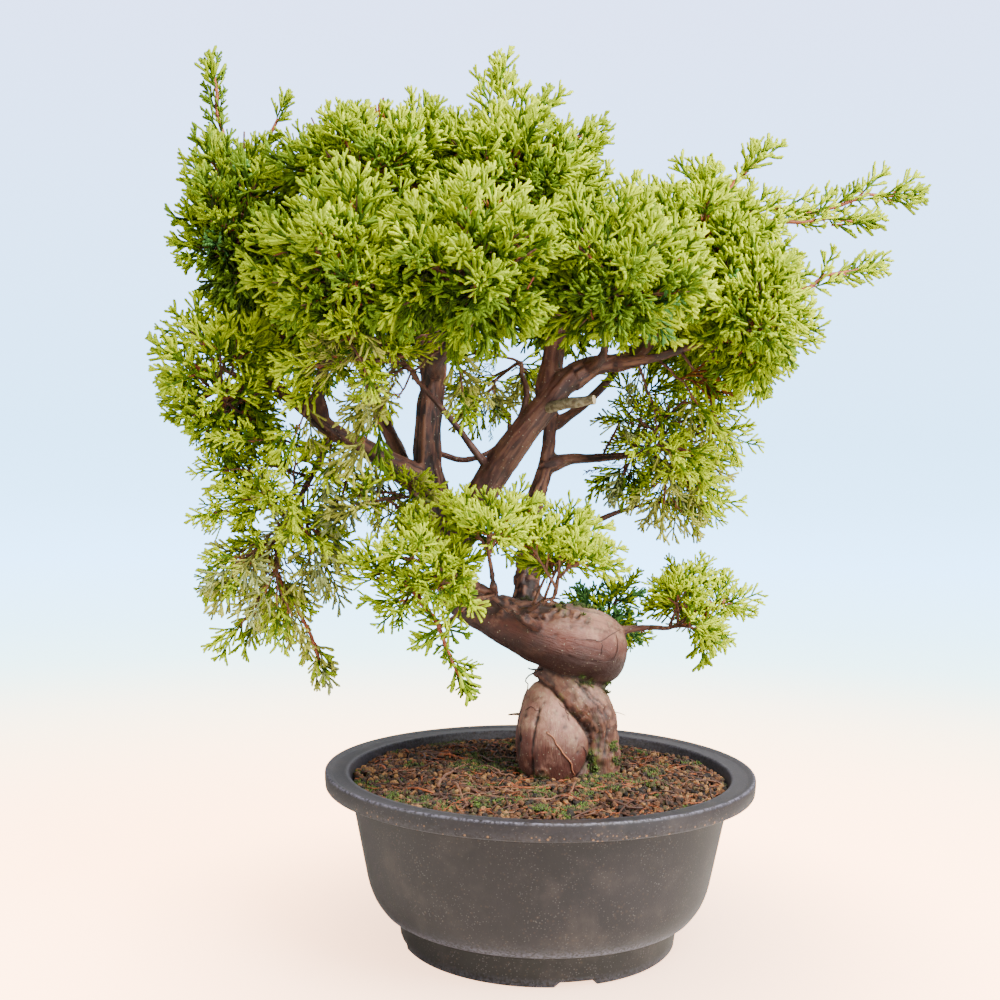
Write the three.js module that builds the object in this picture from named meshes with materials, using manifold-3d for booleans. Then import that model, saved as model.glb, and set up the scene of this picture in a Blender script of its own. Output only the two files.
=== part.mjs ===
// A juniper bonsai in a round training pot, in millimetres, with +Z up. The origin is on the
// pot's axis, in the plane that its foot stands on, and -Y is the front of the tree.
//
// The solids are the pot, the soil, the trunk from its flat cut at the soil, each bough as one
// tapering limb, and each mass of foliage as one solid that keeps to its own space.

import * as THREE from 'three';
import { ConvexGeometry } from 'three/addons/geometries/ConvexGeometry.js';
import { mergeVertices } from 'three/addons/utils/BufferGeometryUtils.js';
import Module from 'manifold-3d';

const wasm = await Module();
wasm.setup();

// Clearance between one solid and the next
const GAP = 0.3;

// Pot: a tapering wall under a broad rim, on a recessed foot ring with drainage notches
const POT = {
  segments: 32,
  rimRadius: 105,
  rimTop: 83,
  rimBand: 8,
  rimEdge: 0.6,
  rimInner: 93.3,
  lipWidth: 3.5,
  lipRise: 1.2,
  wallTopRadius: 93.2,
  bellyRadius: 83.6,
  bellyHeight: 31,
  wall: 2.6,
  hipRadius: 81,
  hipHeight: 23,
  shoulderRadius: 76.5,
  shoulderHeight: 17,
  footTopRadius: 69,
  footTop: 14,
  footRadius: 67,
  footInner: 57,
  footRecess: 3.5,
  floor: 6,
  floorRadius: 65,
  notchWidth: 20,
  notchHeight: 2.4,
  notches: 4,
  notchTurn: 0.27,
  drainRadius: 9,
};

// Soil: its radius at the pot's floor, belly and edge, and the level middle where the trunk stands
const SOIL = {
  floorRadius: 64.7,
  bellyRadius: 80.5,
  edgeRadius: 91.7,
  edge: 76.8,
  top: 79,
  levelRadius: 54,
};

// Mounds of stones and moss on the soil, about 23 mm apart, clear of the trunk's foot
const MOUND = { count: 46, spread: 12, reach: 7, height: 2.3, sink: 0.8, sides: 4 };
const TRUNK_FOOT = { at: [16, 7], radius: 26 };

const GROUND = SOIL.top + GAP;

// Bark and foliage colours
const COLOUR = {
  pot: 0x3b3d42,
  soil: 0x8a6f4e,
  bark: 0x6e4a3c,
  sawnWood: 0xb9ab8c,
  leaf: 0x86a83c,
  shadeLeaf: 0x66803f,
};

// Trunk: the coil over the neck and then the leader, as places with the girth there
const TRUNK_COIL = [
  { at: [13, 8, 70], r: 19 },
  { at: [13, 8, 108], r: 18.5 },
  { at: [19, 9, 124], r: 16.5 },
  { at: [26, 3, 141], r: 17 },
  { at: [13, -5, 146], r: 17.5 },
  { at: [-5, -8, 151], r: 14.5 },
  { at: [-25, -6, 158], r: 10 },
  { at: [-39, -2, 165], r: 8.6 },
  { at: [-46, 2, 179], r: 8.1 },
  { at: [-50, 6, 196], r: 7.8 },
  { at: [-54, 8, 213], r: 7.5 },
  { at: [-58, 8, 233], r: 7.1 },
  { at: [-57, 8, 259], r: 6.6 },
  { at: [-55, 6, 282], r: 5.6 },
  { at: [-54, 3, 306], r: 4.0 },
  { at: [-56, 0, 320], r: 3.0 },
];

// Root flare: the round lobe in front and the ribbed one that twists down behind it
const FRONT_LOBE = { at: [7, 0, 97], reach: [18.8, 18.5, 29] };
const BACK_LOBE = [
  { at: [-1, 3, 122], r: 11 },
  { at: [20, 4, 115], r: 12.5 },
  { at: [25.5, 8, 100], r: 12 },
  { at: [27, 11, 74], r: 14 },
];

// Boughs: what each grows from, its places from root to tip, and its girth at both ends
const BOUGHS = [
  {
    name: 'limb_right', from: 'trunk', girth: [8.3, 6.2],
    path: [[-48, 2, 190], [-36, -6, 206], [-22, -10, 230], [-9, -14, 248], [2, -16, 262], [10, -16, 272]],
  },
  {
    name: 'bough_right_upper', from: 'limb_right', girth: [5.4, 2.2],
    path: [[7, -16, 269], [21, -14, 278], [33, -12, 281], [44, -9, 285], [55, -7, 297], [64, -6, 313]],
  },
  {
    name: 'bough_right_lower', from: 'bough_right_upper', girth: [3.3, 1.7],
    path: [[30, -12, 280], [42, -16, 281], [53, -20, 283], [66, -23, 287]],
  },
  {
    name: 'bough_right_front', from: 'bough_right_upper', girth: [3, 1.6],
    path: [[20, -14, 278], [25, -26, 280], [27, -39, 283], [27, -46, 289]],
  },
  {
    name: 'limb_upper', from: 'limb_right', girth: [4.6, 2],
    path: [[0, -16, 260], [3, -13, 285], [6, -10, 309], [1, -8, 328], [-6, -9, 340]],
  },
  {
    name: 'cut_stub', from: 'limb_right', girth: [2.9, 2.2], sawn: true,
    path: [[-1, -15, 258], [8, -27, 259.5], [23, -34, 261.5]],
  },
  {
    name: 'back_stem', from: 'trunk', girth: [6.2, 2.4],
    path: [[-7, 8, 157], [-8, 14, 177], [-6, 18, 205], [1, 24, 232], [4, 29, 262], [8, 44, 292]],
  },
  {
    name: 'bough_back_right', from: 'back_stem', girth: [3.6, 2],
    path: [[0, 23, 231], [12, 26, 235], [26, 26, 236], [37, 22, 237]],
  },
  {
    name: 'bough_back_far', from: 'back_stem', girth: [3, 1.8],
    path: [[3, 27, 252], [18, 36, 262], [32, 46, 276], [43, 53, 290]],
  },
  {
    name: 'twig_right_long', from: 'back_stem', girth: [2.3, 1.1],
    path: [[-7, 17, 198], [8, 16, 199], [22, 13, 202], [36, 11, 208], [46, 10, 211]],
  },
  {
    name: 'twig_middle', from: 'limb_right', girth: [2.2, 1.4],
    path: [[-13, -12, 243], [-12, 4, 253], [-9, 14, 268], [-12, 26, 279]],
  },
  {
    name: 'twig_crossing', from: 'limb_right', girth: [2.2, 1.3],
    path: [[-25, -9, 226], [-32, -14, 236], [-41, -19, 248], [-51, -25, 260], [-59, -36, 269]],
  },
  {
    name: 'twig_level', from: 'trunk', girth: [1.8, 1.2],
    path: [[-57, 8, 239], [-50, 16, 236], [-40, 19, 234], [-28, 20, 238], [-19, 26, 247], [-18, 33, 258]],
  },
  {
    name: 'bough_left', from: 'trunk', girth: [6.1, 3.2],
    path: [[-58, 6, 221], [-70, 0, 228], [-85, -6, 237], [-102, -12, 246], [-115, -16, 257],
      [-123, -18, 262]],
  },
  {
    name: 'bough_left_rising', from: 'bough_left', girth: [3.6, 2],
    path: [[-108, -14, 250], [-109, -17, 266], [-103, -26, 280], [-96, -39, 293]],
  },
  {
    name: 'twig_hanging', from: 'bough_left', girth: [2.2, 1.5],
    path: [[-103, -12, 247], [-107, -15, 235], [-112, -18, 224], [-117, -21, 213]],
  },
  {
    name: 'limb_back_left', from: 'trunk', girth: [5.2, 2.4],
    path: [[-56, 9, 214], [-70, 21, 228], [-84, 37, 254], [-95, 48, 278], [-104, 55, 292]],
  },
  {
    name: 'bough_left_crown', from: 'trunk', girth: [4, 2.2],
    path: [[-55, 5, 288], [-72, 4, 303], [-90, 0, 314], [-107, -4, 324]],
  },
  {
    name: 'bough_top_left', from: 'trunk', girth: [3.4, 2.1],
    path: [[-55, 1, 312], [-61, -4, 326], [-70, -10, 338], [-76, -14, 344]],
  },
  {
    name: 'bough_front', from: 'trunk', girth: [3.6, 2.1],
    path: [[-55, 6, 276], [-52, -12, 281], [-46, -29, 286], [-41, -44, 292]],
  },
  {
    name: 'bough_back', from: 'trunk', girth: [3.8, 2.1],
    path: [[-57, 8, 264], [-61, 24, 279], [-66, 40, 294], [-70, 52, 306]],
  },
  {
    name: 'bough_back_top', from: 'trunk', girth: [3.1, 1.9],
    path: [[-55, 5, 290], [-49, 17, 304], [-43, 29, 319], [-38, 39, 335]],
  },
  {
    name: 'bough_low_front', from: 'trunk', girth: [2.9, 1.6],
    path: [[2, -9, 153], [-6, -31, 157], [-16, -38, 166], [-28, -46, 174], [-35, -52, 178]],
  },
  {
    name: 'twig_pad_middle', from: 'bough_low_front', girth: [1.6, 1.1],
    path: [[-21, -41, 170], [-22, -50, 177], [-23, -57, 185]],
  },
  {
    name: 'twig_pad_right', from: 'bough_low_front', girth: [1.6, 1],
    path: [[-11, -35, 162], [-4, -43, 165], [1, -50, 169]],
  },
  {
    name: 'twig_low_right', from: 'trunk', girth: [2.2, 1.4],
    path: [[34, 4, 149], [46, 5, 151], [55, 3, 152]],
  },
  {
    name: 'twig_behind', from: 'trunk', girth: [1.8, 1.2],
    path: [[20, 10, 140], [26, 24, 143], [29, 31, 146]],
  },
  {
    name: 'twig_inner_left', from: 'trunk', girth: [1.8, 1.2],
    path: [[-55, 7, 218], [-59, -5, 217], [-62, -13, 216]],
  },
];

// Masses of foliage: the bough each one ends, its middle, how far it reaches each way, its habit
// (how much its shoots rise or hang), whether it is dense, and its furthest leading shoots
const MASSES = [
  {
    name: 'foliage_left_crown', bough: 'bough_left_crown', at: [-149, -9, 350], reach: [37, 46, 47],
    rise: 0.5, dense: true, leaders: [[-169, 0, 435], [-127, -15, 408]],
  },
  {
    name: 'foliage_left_outer', bough: 'bough_left', at: [-155, -20, 266], reach: [35, 47, 44],
    rise: 0.1, dense: true, leaders: [[-190, -28, 289], [-178, -30, 250]],
  },
  {
    name: 'foliage_left_front', bough: 'bough_left_rising', at: [-90, -69, 318], reach: [42, 44, 38],
    rise: 0.4, dense: true, leaders: [[-92, -124, 322]],
  },
  {
    name: 'foliage_left_low_front', bough: 'twig_crossing', at: [-84, -62, 276], reach: [27, 28, 26],
    rise: -0.5, dense: false, leaders: [],
  },
  {
    name: 'foliage_top_left', bough: 'bough_top_left', at: [-85, -20, 372], reach: [48, 52, 33],
    rise: 0.6, dense: true, leaders: [[-93, -20, 407]],
  },
  {
    name: 'foliage_top', bough: 'limb_upper', at: [-18, -12, 371], reach: [47, 52, 36],
    rise: 0.6, dense: true, leaders: [[-26, -5, 430], [0, -10, 412], [27, -10, 397]],
  },
  {
    name: 'foliage_front', bough: 'bough_front', at: [-30, -86, 314], reach: [44, 45, 40],
    rise: 0.3, dense: true, leaders: [[-34, -135, 312]],
  },
  {
    name: 'foliage_right_front', bough: 'bough_right_front', at: [31, -70, 312], reach: [42, 45, 38],
    rise: 0.3, dense: true, leaders: [[34, -122, 306]],
  },
  {
    name: 'foliage_right_crown', bough: 'bough_right_upper', at: [71, -5, 342], reach: [46, 52, 34],
    rise: 0.4, dense: true, leaders: [[190, 14, 370], [109, 0, 391], [162, -5, 352]],
  },
  {
    name: 'foliage_right_end', bough: 'bough_right_lower', at: [95, -30, 302], reach: [34, 48, 40],
    rise: 0.2, dense: true, leaders: [[160, -20, 330]],
  },
  {
    name: 'foliage_right_hanging', bough: 'bough_back_right', at: [67, 5, 242], reach: [33, 40, 41],
    rise: -0.4, dense: true, leaders: [[78, 5, 198]],
  },
  {
    name: 'foliage_left_hanging', bough: 'twig_hanging', at: [-131, -28, 187], reach: [34, 34, 56],
    rise: -0.5, dense: false, leaders: [[-99, -30, 127], [-161, -30, 164]],
  },
  {
    name: 'foliage_pad_left', bough: 'bough_low_front', at: [-60, -68, 178], reach: [29, 36, 27],
    rise: 0.4, dense: true, leaders: [[-30, -58, 125]],
  },
  {
    name: 'foliage_pad_middle', bough: 'twig_pad_middle', at: [-24, -70, 205], reach: [22, 28, 19],
    rise: 0.6, dense: true, leaders: [],
  },
  {
    name: 'foliage_pad_right', bough: 'twig_pad_right', at: [8, -62, 194], reach: [21, 26, 30],
    rise: 0.2, dense: false, leaders: [],
  },
  {
    name: 'foliage_low_right', bough: 'twig_low_right', at: [82, -2, 166], reach: [29, 28, 27],
    rise: 0.2, dense: true, leaders: [[78, 0, 133]],
  },
  {
    name: 'foliage_behind_coil', bough: 'twig_behind', at: [37, 42, 151], reach: [20, 24, 29],
    rise: 0.1, dense: false, leaders: [],
  },
  {
    name: 'foliage_back_left', bough: 'limb_back_left', at: [-138, 63, 322], reach: [50, 50, 52],
    rise: 0.3, dense: true, leaders: [[-172, 112, 352]],
  },
  {
    name: 'foliage_back', bough: 'bough_back', at: [-77, 77, 342], reach: [50, 50, 54],
    rise: 0.3, dense: true, leaders: [[-70, 135, 330]],
  },
  {
    name: 'foliage_back_middle', bough: 'back_stem', at: [9, 76, 347], reach: [52, 50, 54],
    rise: 0.3, dense: true, leaders: [[16, 104, 404]],
  },
  {
    name: 'foliage_back_top', bough: 'bough_back_top', at: [-34, 47, 380], reach: [34, 38, 33],
    rise: 0.5, dense: true, leaders: [],
  },
  {
    name: 'foliage_back_right', bough: 'bough_back_far', at: [84, 62, 324], reach: [50, 52, 52],
    rise: 0.3, dense: true, leaders: [[138, 92, 338]],
  },
  {
    name: 'foliage_inner_left', bough: 'twig_inner_left', at: [-78, -28, 213], reach: [27, 24, 15],
    rise: -0.2, dense: false, leaders: [],
  },
  {
    name: 'foliage_middle', bough: 'twig_middle', at: [-30, 45, 274], reach: [24, 25, 22],
    rise: -0.5, dense: false, leaders: [],
  },
];

// Growth of a mass: how far apart its tufts are, the share of its reach that a dense heart fills,
// the number of the heart's corners, which of its tufts are sprays that stand out of it, how the
// sprays sit on a leading shoot, and the clearances that all of them keep
const TUFT_SPACING = 34;
const HEART_REACH = 0.58;
const HEART_CORNERS = 36;
const SPRAY_EVERY = 3;
const LEADER_STEP = 16;
const LEADER_SPRAY = 16;
const LEADER_MARGIN = 2;
const TWIG_BOW = 0.06;
const MASS_MARGIN = 1.1;
const LIMB_MARGIN = 1.2;
const GOLDEN_ANGLE = Math.PI * (3 - Math.sqrt(5));

const vec = (p) => new THREE.Vector3(p[0], p[1], p[2]);
const mix = (a, b, t) => a + (b - a) * t;

// Random numbers from a seed, the same on every run
function seededRandom(seed) {
  let state = seed >>> 0;
  return () => {
    state = (state + 0x6d2b79f5) >>> 0;
    let t = state;
    t = Math.imul(t ^ (t >>> 15), t | 1);
    t ^= t + Math.imul(t ^ (t >>> 7), t | 61);
    return ((t ^ (t >>> 14)) >>> 0) / 4294967296;
  };
}

// A closed three.js geometry as a solid that can be cut and joined
function toSolid(geometry) {
  const bare = geometry.clone();
  bare.deleteAttribute('normal');
  bare.deleteAttribute('uv');
  const merged = mergeVertices(bare, 1e-4);
  const source = merged.index.array;
  const faces = [];
  for (let i = 0; i < source.length; i += 3) {
    const [a, b, c] = [source[i], source[i + 1], source[i + 2]];
    if (a !== b && b !== c && c !== a) faces.push(a, b, c);
  }
  return new wasm.Manifold(new wasm.Mesh({
    numProp: 3,
    vertProperties: Float32Array.from(merged.attributes.position.array),
    triVerts: Uint32Array.from(faces),
  }));
}

// A solid back as a three.js geometry
function toGeometry(solid) {
  const mesh = solid.getMesh();
  const geometry = new THREE.BufferGeometry();
  geometry.setAttribute('position', new THREE.BufferAttribute(mesh.vertProperties, 3));
  geometry.setIndex(new THREE.BufferAttribute(mesh.triVerts, 1));
  geometry.computeVertexNormals();
  return geometry;
}

// A solid from corner points and faces
function solidFrom(points, faces) {
  const geometry = new THREE.BufferGeometry();
  const flat = points.flatMap((p) => [p.x, p.y, p.z]);
  geometry.setAttribute('position', new THREE.Float32BufferAttribute(flat, 3));
  geometry.setIndex(faces);
  return toSolid(geometry);
}

const join = (solids) => solids.reduce((whole, piece) => whole.add(piece));

// The biggest body of a solid: loose scraps of a cut are dropped
function biggestBody(solid) {
  const bodies = solid.decompose();
  return bodies.reduce((best, body) => (body.volume() > best.volume() ? body : best));
}

// A smooth line through places; place(t) runs from 0 at the first to 1 at the last
function smoothLine(points) {
  return new THREE.CatmullRomCurve3(points.map(vec), false, 'catmullrom', 0.5);
}

// A round limb along a line, closed by flat ends; girth(t) is its radius
function limbSolid(line, girth, sides, rings) {
  const points = [];
  const faces = [];
  const across = new THREE.Vector3(0.3, 1, 0.2);
  for (let i = 0; i <= rings; i += 1) {
    const t = i / rings;
    const centre = line.getPoint(t);
    const along = line.getTangent(t);
    across.addScaledVector(along, -across.dot(along)).normalize();
    const other = new THREE.Vector3().crossVectors(along, across);
    for (let k = 0; k < sides; k += 1) {
      const angle = (2 * Math.PI * k) / sides;
      points.push(centre.clone()
        .addScaledVector(across, girth(t) * Math.cos(angle))
        .addScaledVector(other, girth(t) * Math.sin(angle)));
    }
  }
  for (let i = 0; i < rings; i += 1) {
    for (let k = 0; k < sides; k += 1) {
      const next = (k + 1) % sides;
      const [a, b] = [i * sides + k, i * sides + next];
      const [c, d] = [a + sides, b + sides];
      faces.push(a, b, d, a, d, c);
    }
  }
  for (let k = 1; k < sides - 1; k += 1) {
    const last = rings * sides;
    faces.push(0, k + 1, k, last, last + k, last + k + 1);
  }
  return solidFrom(points, faces);
}

// Girth between places of a list, as a function of t
function girthOf(places, grow) {
  return (t) => {
    const x = t * (places.length - 1);
    const i = Math.min(Math.floor(x), places.length - 2);
    return mix(places[i].r, places[i + 1].r, x - i) + grow;
  };
}

// The trunk, made thicker all over by grow
function trunkSolid(grow) {
  const coil = smoothLine(TRUNK_COIL.map((p) => p.at));
  const lobe = smoothLine(BACK_LOBE.map((p) => p.at));
  const front = new THREE.SphereGeometry(1, 12, 8);
  front.rotateX(Math.PI / 2);
  front.scale(...FRONT_LOBE.reach.map((r) => r + grow));
  front.translate(...FRONT_LOBE.at);
  return join([
    limbSolid(coil, girthOf(TRUNK_COIL, grow), 12, 24),
    limbSolid(lobe, girthOf(BACK_LOBE, grow), 9, 5),
    toSolid(front),
  ]);
}

// The flat cut at ground level
function cutAtGround(solid) {
  const below = new THREE.BoxGeometry(200, 200, 100);
  below.translate(0, 0, GROUND - 50);
  return solid.subtract(toSolid(below));
}

// A bough, made thicker all over by grow; a thin one has fewer sides
function boughSolid(bough, grow) {
  const [thick, thin] = bough.girth;
  const girth = (t) => mix(thick, thin, t) + grow;
  const sides = thick > 3 ? 7 : 5;
  return limbSolid(smoothLine(bough.path), girth, sides, bough.path.length + 1);
}

// Centre lines of the limbs as short stretches, to keep foliage clear of them
function limbStretches() {
  const stretches = [];
  const add = (name, places) => {
    const line = smoothLine(places.map((p) => p.at));
    const girth = girthOf(places, 0);
    const count = 3 * (places.length - 1);
    for (let i = 0; i < count; i += 1) {
      const [t, u] = [i / count, (i + 1) / count];
      stretches.push({ name, a: line.getPoint(t), b: line.getPoint(u), r: girth((t + u) / 2) });
    }
  };
  add('trunk', TRUNK_COIL);
  for (const bough of BOUGHS) {
    const last = bough.path.length - 1;
    add(bough.name, bough.path.map((at, i) => ({ at, r: mix(bough.girth[0], bough.girth[1], i / last) })));
  }
  return stretches;
}

const LIMB_STRETCHES = limbStretches();

function clearOfLimbs(point, margin) {
  const nearest = new THREE.Vector3();
  return LIMB_STRETCHES.every((s) => {
    new THREE.Line3(s.a, s.b).closestPointToPoint(point, true, nearest);
    return nearest.distanceTo(point) > s.r + margin;
  });
}

// How far a point lies outside a mass's reach, in millimetres; negative inside it
function outside(mass, point) {
  const [rx, ry, rz] = mass.reach;
  const [x, y, z] = [point.x - mass.at[0], point.y - mass.at[1], point.z - mass.at[2]];
  return (Math.hypot(x / rx, y / ry, z / rz) - 1) * Math.min(rx, ry, rz);
}

// A point is in a mass's own space if it is nearer to it than to any other mass
function inOwnSpace(mass, point, margin) {
  const own = outside(mass, point);
  return MASSES.every((other) => other === mass || outside(other, point) > own + 2 * margin);
}

// The place in a mass in a direction, at a share of its reach
function placeIn(mass, direction, share) {
  const [x, y, z] = mass.reach.map((r, i) => mass.at[i] + r * share * direction.getComponent(i));
  return new THREE.Vector3(x, y, z);
}

// The largest share of its reach, up to a limit, that a mass has free in a direction
function freeShare(mass, direction, limit, margin) {
  let share = limit;
  while (share > 0.15) {
    const point = placeIn(mass, direction, share);
    if (inOwnSpace(mass, point, margin) && clearOfLimbs(point, LIMB_MARGIN)) return share;
    share -= 0.04;
  }
  return share;
}

// Even directions all round, turned by a phase
function evenDirections(count, phase) {
  return Array.from({ length: count }, (_, k) => {
    const height = 1 - (2 * (k + 0.5)) / count;
    const flat = Math.sqrt(1 - height * height);
    const angle = phase + k * GOLDEN_ANGLE;
    return new THREE.Vector3(flat * Math.cos(angle), flat * Math.sin(angle), height);
  });
}

// The tufts of a mass: an even direction for each, how far it stretches, and its turn
function tuftsOf(mass, random) {
  const size = Math.cbrt(mass.reach[0] * mass.reach[1] * mass.reach[2]);
  const count = Math.round((9.3 * size * size) / TUFT_SPACING ** 2);
  const phase = 2 * Math.PI * random();
  return evenDirections(count, phase).map((direction) => ({
    direction,
    stretch: 0.9 + 0.1 * random(),
    turn: Math.PI * random(),
  }));
}

// A spray of shoots on a slim shaft, as one closed solid of sixteen faces: a shoot along the axis
// to the tip and three that spread round it
function spraySolid(root, tip, rise, turn) {
  const axis = tip.clone().sub(root);
  const length = axis.length();
  axis.normalize();
  const across = new THREE.Vector3(0.31, 0.17, 0.93).cross(axis).normalize();
  const other = new THREE.Vector3().crossVectors(axis, across);
  const round = (angle, up, out) => root.clone()
    .addScaledVector(axis, up * length)
    .addScaledVector(across, out * length * Math.cos(angle))
    .addScaledVector(other, out * length * Math.sin(angle));
  const waist = [0, 1, 2, 3].map((k) => round(turn + (k * Math.PI) / 2, 0.44, 0.11));
  const spread = [1, 2, 3].map((k) => {
    const shoot = round(turn + ((k + 0.5) * Math.PI) / 2, k === 2 ? 0.7 : 0.84, 0.4);
    shoot.z += 0.12 * rise * length;
    return shoot;
  });
  const dome = round(0, 0.6, 0);
  const points = [root, dome, ...waist, tip, ...spread];
  const faces = [];
  for (let k = 0; k < 4; k += 1) {
    const [a, b, t] = [2 + k, 2 + ((k + 1) % 4), 6 + k];
    faces.push(0, b, a, a, b, t, b, 1, t, 1, a, t);
  }
  return { solid: solidFrom(points, faces), tips: [tip, ...spread] };
}

// Whether every shoot of a spray stays in its mass's space and touches no limb
function sprayFits(mass, tips) {
  return tips.every((p) => clearOfLimbs(p, LIMB_MARGIN) && inOwnSpace(mass, p, MASS_MARGIN));
}

// Whether every shoot of a leader's spray is past the reach of all other masses and touches no limb
function leaderSprayFits(mass, tips) {
  return tips.every((p) => clearOfLimbs(p, LIMB_MARGIN)
    && MASSES.every((other) => other === mass || outside(other, p) > LEADER_MARGIN));
}

// The dense heart of a mass: a ball with a swelling under each tuft and a pointed shoot on each
// of its faces, drawn in wherever another mass or a limb is near
function heartSolid(mass, tufts, random) {
  const swelling = (direction) => Math.max(...tufts.map((tuft) => {
    const angle = tuft.direction.angleTo(direction);
    return Math.exp(-((angle / 0.45) ** 2));
  }));
  const corners = evenDirections(HEART_CORNERS, 6 * random());
  const ball = new ConvexGeometry(corners);
  ball.deleteAttribute('normal');
  const merged = mergeVertices(ball, 1e-4);
  const directions = [];
  for (let i = 0; i < merged.attributes.position.count; i += 1) {
    directions.push(new THREE.Vector3().fromBufferAttribute(merged.attributes.position, i));
  }
  const points = directions.map((direction) => {
    const share = HEART_REACH * (0.78 + 0.34 * swelling(direction));
    return placeIn(mass, direction, freeShare(mass, direction, share, 2 * MASS_MARGIN));
  });
  const faces = [];
  const index = merged.index.array;
  for (let i = 0; i < index.length; i += 3) {
    const [a, b, c] = [index[i], index[i + 1], index[i + 2]];
    const middle = new THREE.Vector3();
    [a, b, c].forEach((k) => middle.addScaledVector(directions[k], 0.6 + 0.8 * random()));
    middle.normalize();
    const share = HEART_REACH + 0.1 + (0.3 * swelling(middle) - 0.08) * (0.6 + 0.6 * random());
    const tip = points.length;
    points.push(placeIn(mass, middle, freeShare(mass, middle, share, MASS_MARGIN)));
    faces.push(a, b, tip, b, c, tip, c, a, tip);
  }
  return solidFrom(points, faces);
}

// A place along a twig between two ends, in two straight stretches that rise to the middle
function bowedPlace(from, to, t) {
  const place = from.clone().lerp(to, t);
  place.z += TWIG_BOW * from.distanceTo(to) * (1 - Math.abs(2 * t - 1));
  return place;
}

// A slender three-sided twig between two ends, bowed where it has two stretches
function twigSolid(from, to, thick, thin, stretches) {
  const places = [from, bowedPlace(from, to, 0.5), to];
  const line = new THREE.CatmullRomCurve3(places, false, 'catmullrom', 0.5);
  return limbSolid(line, (t) => mix(thick, thin, t), 3, stretches);
}

// A leading shoot that grows past its mass to a tip, set with short sprays on alternate sides
function leaderSolids(mass, heart, tip) {
  const end = vec(tip);
  const along = end.clone().sub(heart);
  const reach = along.length();
  along.normalize();
  const endRoot = end.clone().addScaledVector(along, -LEADER_SPRAY);
  const bare = 0.5 * LEADER_SPRAY;
  const twigTip = end.clone().addScaledVector(along, -bare);
  const pieces = [
    twigSolid(heart, twigTip, 1.6, 0.8, 2),
    spraySolid(endRoot, end, mass.rise, 0.4).solid,
  ];
  const side = new THREE.Vector3(0.2, 0.9, 0.3).cross(along).normalize();
  for (let back = LEADER_SPRAY; back < reach; back += LEADER_STEP) {
    const joint = bowedPlace(heart, twigTip, 1 - (back - bare) / (reach - bare));
    if (outside(mass, joint) < -2) break;
    side.applyAxisAngle(along, 2.4);
    const spread = along.clone().multiplyScalar(0.8).add(side).normalize();
    const root = joint.clone().addScaledVector(spread, -1.2);
    const shoot = spraySolid(root, root.clone().addScaledVector(spread, LEADER_SPRAY), mass.rise, 0.9);
    if (leaderSprayFits(mass, shoot.tips)) pieces.push(shoot.solid);
  }
  return pieces;
}

// The stem of a mass: from its bough's tip, a hair clear of it, to the middle of the mass
function stemOf(mass) {
  const bough = BOUGHS.find((b) => b.name === mass.bough);
  const line = smoothLine(bough.path);
  const onward = line.getTangent(1);
  const start = line.getPoint(1).addScaledVector(onward, GAP);
  const heart = vec(mass.at);
  const bend = start.clone().addScaledVector(onward, 0.35 * start.distanceTo(heart));
  return {
    line: new THREE.CatmullRomCurve3([start, bend, heart], false, 'catmullrom', 0.5),
    girth: (t) => mix(0.9, 0.55, t) * bough.girth[1],
  };
}

// The sprays of a mass, rooted in its heart where it is dense, and otherwise each on a twig of its
// own from the stem
function spraySolids(mass, tufts, stem) {
  const pieces = [];
  tufts.forEach(({ direction, stretch, turn }, k) => {
    if (mass.dense && k % SPRAY_EVERY) return;
    const share = freeShare(mass, direction, stretch, MASS_MARGIN);
    if (share < 0.8 * stretch) return;
    const root = placeIn(mass, direction, 0.5 * share);
    const spray = spraySolid(root, placeIn(mass, direction, share), mass.rise, turn);
    if (!sprayFits(mass, spray.tips)) return;
    pieces.push(spray.solid);
    if (mass.dense) return;
    const into = root.clone().lerp(spray.tips[0], 0.35);
    pieces.push(twigSolid(stem.line.getPoint(0.55 + 0.15 * (k % 4)), into, 0.9, 0.7, 1));
  });
  return pieces;
}

// A mass of foliage: its stem, its dense heart where it has one, its sprays, and its leaders
function massSolid(mass, index) {
  const random = seededRandom(1000 + index);
  const tufts = tuftsOf(mass, random);
  const stem = stemOf(mass);
  const pieces = [limbSolid(stem.line, stem.girth, 4, 3)];
  if (mass.dense) pieces.push(heartSolid(mass, tufts, random));
  pieces.push(...spraySolids(mass, tufts, stem));
  for (const leader of mass.leaders) pieces.push(...leaderSolids(mass, vec(mass.at), leader));
  return join(pieces);
}

// Cuts a solid clear of every limb whose box it meets
function cutClear(solid, limbs) {
  const box = solid.boundingBox();
  const meets = (other) => [0, 1, 2].every((i) => other.min[i] < box.max[i] && other.max[i] > box.min[i]);
  let rest = solid;
  for (const limb of limbs) {
    if (meets(limb.boundingBox())) rest = rest.subtract(limb);
  }
  return biggestBody(rest);
}

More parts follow.
